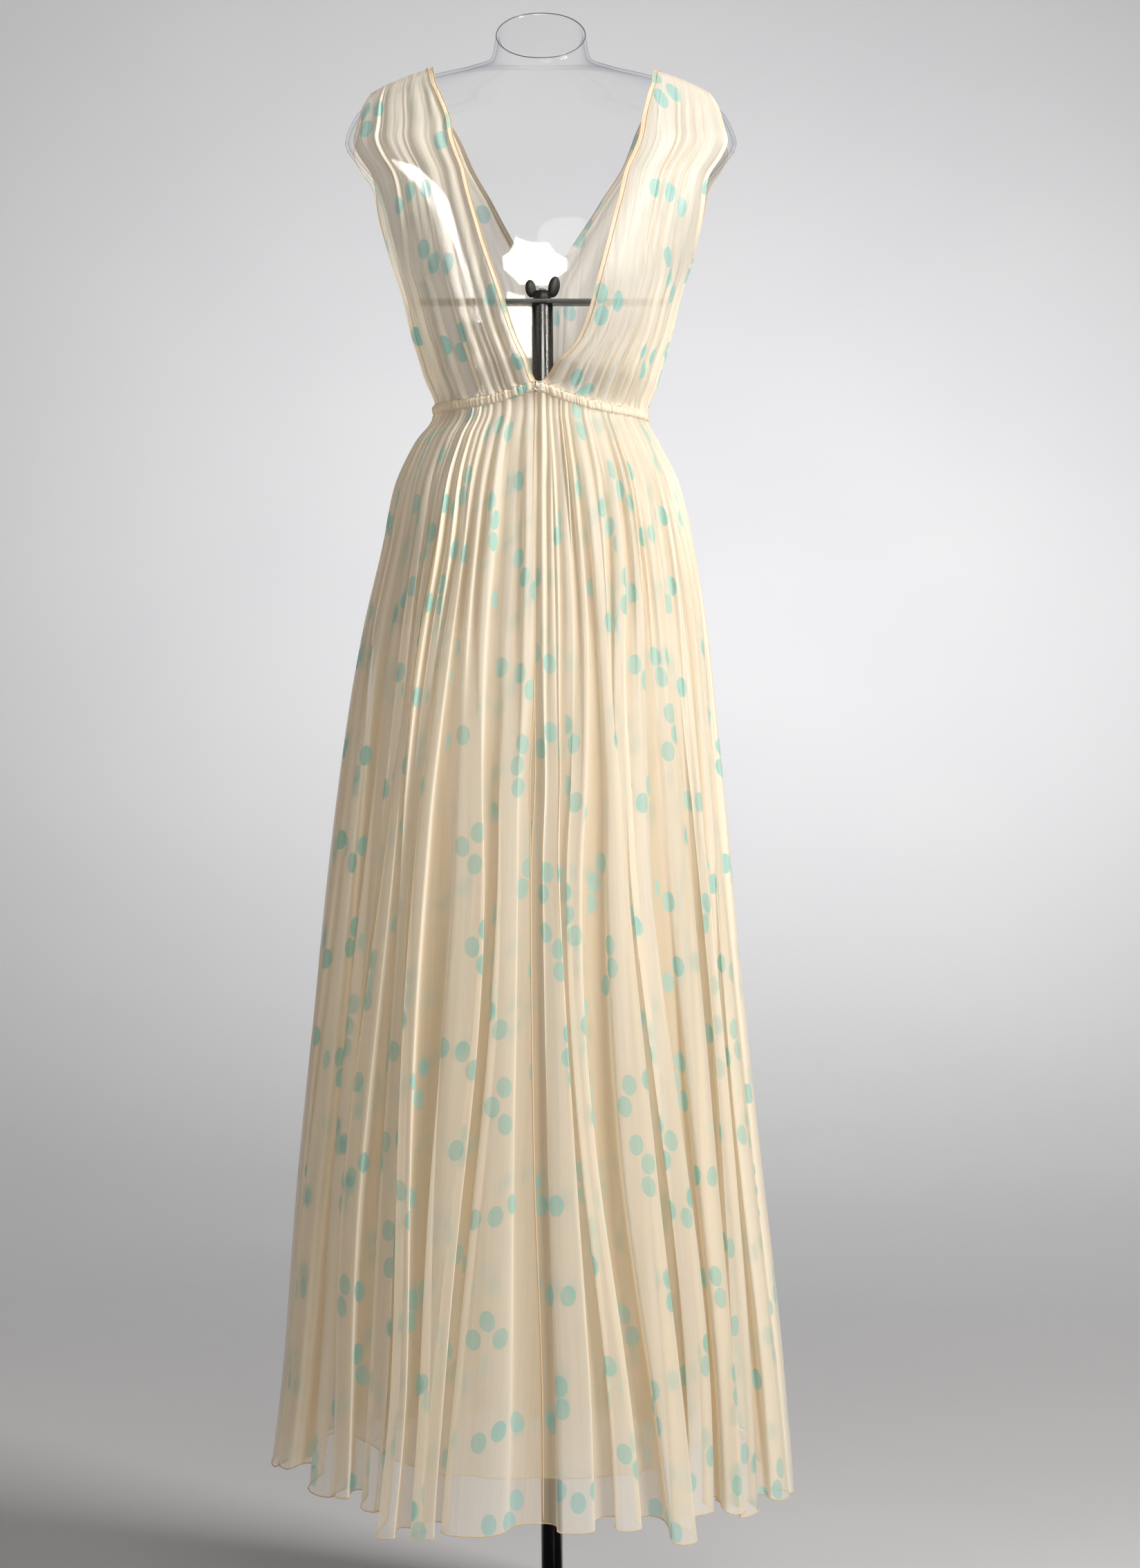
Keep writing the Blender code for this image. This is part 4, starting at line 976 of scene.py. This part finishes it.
def bodice_half(half, facing, side):
    """The folded surface of one half, its columns running round the body.
    facing is 1 in front and -1 behind, and side is 1 on the right and -1 on the left."""
    rows = np.arange(len(BODICE))
    neck_height, neck_x = np.array([getattr(row, half) for row in BODICE]).T
    arm_height = np.array([row.arm_height for row in BODICE])
    arm_angle = np.array([row.front_arm if facing == 1 else row.back_arm for row in BODICE])
    half_width = bodice_points(90.0, neck_height)[:, 0]
    part = np.clip(neck_x / half_width, -1, 1)
    neck_angle = np.sign(part) * np.degrees(np.arcsin(np.abs(part) ** (SQUARENESS / 2)))
    neck_angle[0] = 90 - SEAM_TURN
    arm_angle = np.minimum(arm_angle, 90 - SEAM_TURN)
    down = np.linspace(0, 1, BODICE_ROWS)[:, None] ** 0.92
    at = down * rows[-1]
    neck_angle, arm_angle, neck_height, arm_height = (
        curve(rows, column, at) for column in (neck_angle, arm_angle, neck_height, arm_height)
    )
    across = np.linspace(0, 1, BODICE_COLUMNS)[None, :]
    angle = neck_angle + (arm_angle - neck_angle) * across
    height = neck_height + (arm_height - neck_height) * across
    turn = side * (angle if facing == 1 else 180 - angle)
    bottom = waist_height(turn) + CASING_HEIGHT / 2 + WAIST_SEAM
    height = height + (bottom - height) * ramp(down, 0.90, 1.0)
    swing = across + 0.04 * np.sin(5 * down + 7 * across) * np.sin(pi * across)
    broad, _ = gathers(swing, BROAD_FOLDS, 40 + side + 5 * facing, power=2.0, uneven=0.8)
    medium, _ = gathers(swing, MEDIUM_FOLDS, 50 + side + 5 * facing, power=1.6, uneven=0.8)
    fine, _ = gathers(across, FINE_FOLDS, 60 + side + 5 * facing, power=1.1, uneven=0.6)
    shoulder, _ = gathers(across, SHOULDER_FOLDS, 70 + side, power=1.6, uneven=0.7)
    at_shoulder = 1 - ramp(down, 0.03, 0.24)
    at_waist = ramp(down, 0.55, 0.88)
    let_in = BROAD_DEPTH * ramp(down, 0.10, 0.45) * (1 - 0.6 * at_waist) * (1 - broad)
    let_in = let_in + 1.1 * MM * ramp(down, 0.1, 0.4) * (1 - 0.5 * at_waist) * (1 - medium)
    let_in += SHOULDER_DEPTH * at_shoulder * (1 - shoulder)
    let_in += WAIST_DEPTH * at_waist * (1 - 0.5 * ramp(down, 0.95, 1.0)) * (1 - fine)
    round_it = bodice_points(turn + 0.5, height) - bodice_points(turn - 0.5, height)
    up_it = bodice_points(turn, height + 0.5 * MM) - bodice_points(turn, height - 0.5 * MM)
    out = unit(np.cross(round_it, up_it))
    points = bodice_points(turn, height) - out * let_in[..., None]
    if side * facing == -1:
        points, out = points[:, ::-1], out[:, ::-1]
    return points, out, arm_angle[:, 0] < 89


for half, facing, side in (
    ("front_right", 1, 1), ("front_left", 1, -1), ("back_right", -1, 1), ("back_left", -1, -1),
):
    name = f"bodice_{half}"
    points, out, armhole = bodice_half(half, facing, side)
    cloth = silk_sheet(f"{name}_chiffon", points, bodice_silk, "chiffon", name)
    neck = 0 if side * facing == 1 else -1
    arm = -1 - neck
    inward = 1 if neck == 0 else -1
    to_cloth = unit(points[:, neck + 4 * inward] - points[:, neck])
    open_rows = np.ones(BODICE_ROWS, bool) if facing == 1 else lengths(points, 0)[:, neck] < 0.245
    line = points[open_rows, neck] + out[open_rows, neck] * 0.4 * MM
    inner_line = line + to_cloth[open_rows] * 5 * MM
    edges = [line, inner_line, points[armhole, arm] + out[armhole, arm] * 0.2 * MM]
    if facing == 1:
        edges.append(points[0] + out[0] * 0.5 * MM)
    pieces = [rolled_edges(f"{name}_rolled_edge", edges, 0.4 * MM, "chiffon")]
    hold = [points[~armhole, arm] + out[~armhole, arm] * 0.3 * MM] if facing == 1 else []
    lift = out[open_rows, neck] * 0.45 * MM
    pieces.append(stitched(f"{name}_stitches", [inner_line + lift, *hold], 3.6 * MM))
    strip = (np.stack([line, inner_line], axis=1)[:, ::inward] - lift[:, None]).reshape(-1, 3)
    strip_faces = grid_faces(len(line), 2, False)
    pieces.append(new_object(f"{name}_neckline_band", strip, strip_faces, band_silk, "chiffon"))

# Waist casing: a bias strip of the same silk sewn round as a narrow tunnel and drawn up small.
# It is ruched as finely as a shoelace casing, with a tiny frill standing along its upper edge.
CASING_RUCHES = 170
COLUMNS_A_DEGREE = 4.2
casing_silk = chiffon("ruched_silk_casing", "#F5E8D0", "#AFD9D0", "#F1DDB8", 0.93, creased=0.4)
profile = (
    (5.6, 0.50), (4.9, 0.62), (4.0, 0.80), (2.8, 0.97), (1.2, 1.0), (-0.6, 0.98), (-2.2, 0.95),
    (-3.4, 0.82), (-4.2, 0.62), (-4.7, 0.45),
)
for name, start, end in (
    ("waist_casing_right", -1.5, 89.9), ("waist_casing_left", 270.1, 358.1),
    ("waist_casing_back", 90.1, 269.9),
):
    count = int((end - start) * COLUMNS_A_DEGREE)
    angle = np.linspace(start, end, count)[None, :]
    up, out = np.array(profile).T[:, :, None]
    slant = angle + 0.08 * up
    ruche, _ = gathers((slant % 360) / 360, CASING_RUCHES, 81, power=0.8, uneven=0.6)
    frill = ramp(up, 3.4, 5.6)
    bulge = CASING_INSIDE + CASING_DEPTH * out - (1.5 + 0.6 * frill) * MM * (1 - ruche)
    height = waist_height(angle) + (up + 0.35 * (ruche - 0.5) * (1 + 2 * frill)) * MM
    points = form_points(angle, height, bulge)
    cloth = silk_sheet(f"{name}_chiffon", points, casing_silk, "chiffon", name)
    frill_edge = rolled_edges(f"{name}_frill_edge", [points[0]], 0.35 * MM, "chiffon")
    rows = [points[3] * (1, 1.002, 1), points[7] * (1, 1.002, 1)]
    shirring = stitched(f"{name}_shirring_stitches", rows, 2.6 * MM, slant=1.45)

# Hook and eye: bent from plated steel wire under a millimetre thick and sewn on by hand.
# The hook on the right front catches the eye on the left at the very point of the waist.
WIRE = 0.5 * MM
middle = float(waist_height(0.0)) - 0.5 * MM
face = float(form_points(0.0, middle, CASING_INSIDE + CASING_DEPTH)[1]) - 1.3 * MM
spin = np.linspace(0, 2 * pi, 25)[:-1]
eye = [(CENTRE_FRONT + 2.1 * MM * cos(t), face, middle + 2.1 * MM * sin(t)) for t in spin]
wire_points, wire_faces = rolled(eye, WIRE, sides=8, closed=True)
hook = [(0.4, 0.9), (1.6, 0.9), (4.4, 0.9), (5.6, 1.5), (6.2, 2.5), (5.2, 3.1), (4.6, 2.2), (4.6, 0.9)]
hook += [(x, -z) for x, z in reversed(hook)]
path = [(CENTRE_FRONT + x * MM, face - 0.4 * MM, middle + z * MM) for x, z in hook]
more, faces = rolled(path, 0.4 * MM, sides=8, first=len(wire_points))
wire_points = np.concatenate([wire_points, more])
new_object(
    "hook_and_eye_wire", wire_points, [*wire_faces, *faces], steel, "plated_steel",
    ["hook_and_eye"],
)

# Floor and backdrop: one seamless paper-white studio cove all round, with no edge to see.
# Matt paint has no shine, only a faint cloudiness from the roller.
studio, add = new_material("matt_studio_paint")
mottle = add("TexNoise", {"Vector": add("TexCoord").outputs["Object"], "Scale": 1.6, "Detail": 3})
colour = add("Mix", {0: mottle, 6: linear("#C6C6C9"), 7: linear("#CDCDCF")}, data_type="RGBA")
add("OutputMaterial", {"Surface": add("BsdfPrincipled", {"Base Color": colour, "Roughness": 0.9})})

ROOM_RADIUS, COVE, ROOM_HEIGHT, ROOM_TURNS = 6.6, 4.0, 4.8, 96
COVE_STEPS = 24
room = [(0.0, 0.0), (1.0, 0.0), (ROOM_RADIUS - COVE, 0.0)]
for k in range(1, COVE_STEPS + 1):
    t = pi / 2 * k / COVE_STEPS
    room.append((ROOM_RADIUS - COVE + COVE * sin(t), COVE - COVE * cos(t)))
room.append((ROOM_RADIUS, ROOM_HEIGHT))
turn = 2 * pi * np.arange(ROOM_TURNS) / ROOM_TURNS
points = [(radius * cos(t), radius * sin(t), height) for radius, height in room for t in turn]
cove = mesh_object("studio_cove", points, grid_faces(len(room), ROOM_TURNS, True), studio)

# Light: an eight-sided softbox above the camera, a broad one on the right and a weaker left fill.
world = bpy.data.worlds.new("soft_room_light")
world.use_nodes = True
background = world.node_tree.nodes["Background"]
background.inputs["Color"].default_value = linear("#F6F5F3")
background.inputs["Strength"].default_value = 0.16
bpy.context.scene.world = world
bpy.context.scene.view_settings.view_transform = "Standard"


def aimed(obj, place, target):
    """Puts a lamp or card at a place and turns it to face its target."""
    obj.location = place
    obj.rotation_euler = (Vector(target) - Vector(place)).to_track_quat("-Z", "Y").to_euler()


Lamp = namedtuple("Lamp", "name place target width length watts colour")
for lamp in (
    Lamp("right_softbox", (2.2, -1.8, 2.6), (0.0, 0.0, 1.75), 1.0, 1.4, 156, "#FFFCF7"),
    Lamp("left_fill", (-2.2, -1.7, 2.7), (0.0, 0.0, 1.6), 1.2, 0.8, 9, "#FFF6E8"),
    Lamp("backdrop_wash", (0.9, 3.8, 2.9), (0.3, 5.8, 0.1), 0.9, 0.5, 40, "#FFFFFF"),
    Lamp("backdrop_top", (-0.3, 3.8, 2.9), (0.2, 6.6, 2.5), 0.9, 0.5, 31, "#FFFFFF"),
):
    data = bpy.data.lights.new(lamp.name, "AREA")
    data.shape = "RECTANGLE"
    data.size, data.size_y = lamp.width, lamp.length
    data.energy = lamp.watts
    data.color = linear(lamp.colour)[:3]
    panel = bpy.data.objects.new(lamp.name, data)
    bpy.context.scene.collection.objects.link(panel)
    aimed(panel, lamp.place, lamp.target)

octagon, add = new_material("softbox_cloth_lit")
glow = add("Emission", {"Color": linear("#FFFBF4"), "Strength": 12.0})
add("OutputMaterial", {"Surface": glow})
SOFTBOX_REACH = (0.55, 0.36)
turns = [pi / 8 + k * pi / 4 for k in range(8)]
ring = [(SOFTBOX_REACH[0] * cos(t), SOFTBOX_REACH[1] * sin(t), 0) for t in turns]
softbox, shine_card = (
    mesh_object(name, ring, [tuple(reversed(range(8)))], octagon)
    for name in ("octagon_softbox", "octagon_shine_card")
)
aimed(softbox, (0.45, -2.35, 2.90), (0.0, 0.0, 1.45))
# The same softbox's shine in the hollow back of the form is lent by a card that only gloss sees.
aimed(shine_card, (0.12, -2.35, 2.10), (0.0, 0.0, 1.46))
shine_card.scale = (1.08, 0.96, 1.0)
shine_card.visible_diffuse = False
shine_card.visible_transmission = False
shine_card.visible_shadow = False
for card in (softbox, shine_card):
    card.visible_camera = False

# Camera: level, 3.5 m in front of the form, at the height of the skirt's middle.
camera_data = bpy.data.cameras.new("studio_camera")
PIXELS_HIGH, PIXELS_A_RADIAN, SENSOR = 2268, 4930, 36.0
camera_data.sensor_width = SENSOR
camera_data.lens = PIXELS_A_RADIAN * SENSOR / PIXELS_HIGH
camera = bpy.data.objects.new("studio_camera", camera_data)
camera.location = (0.030, -3.5, 0.907)
camera.rotation_euler = (pi / 2, 0, 0)
bpy.context.scene.collection.objects.link(camera)
bpy.context.scene.camera = camera
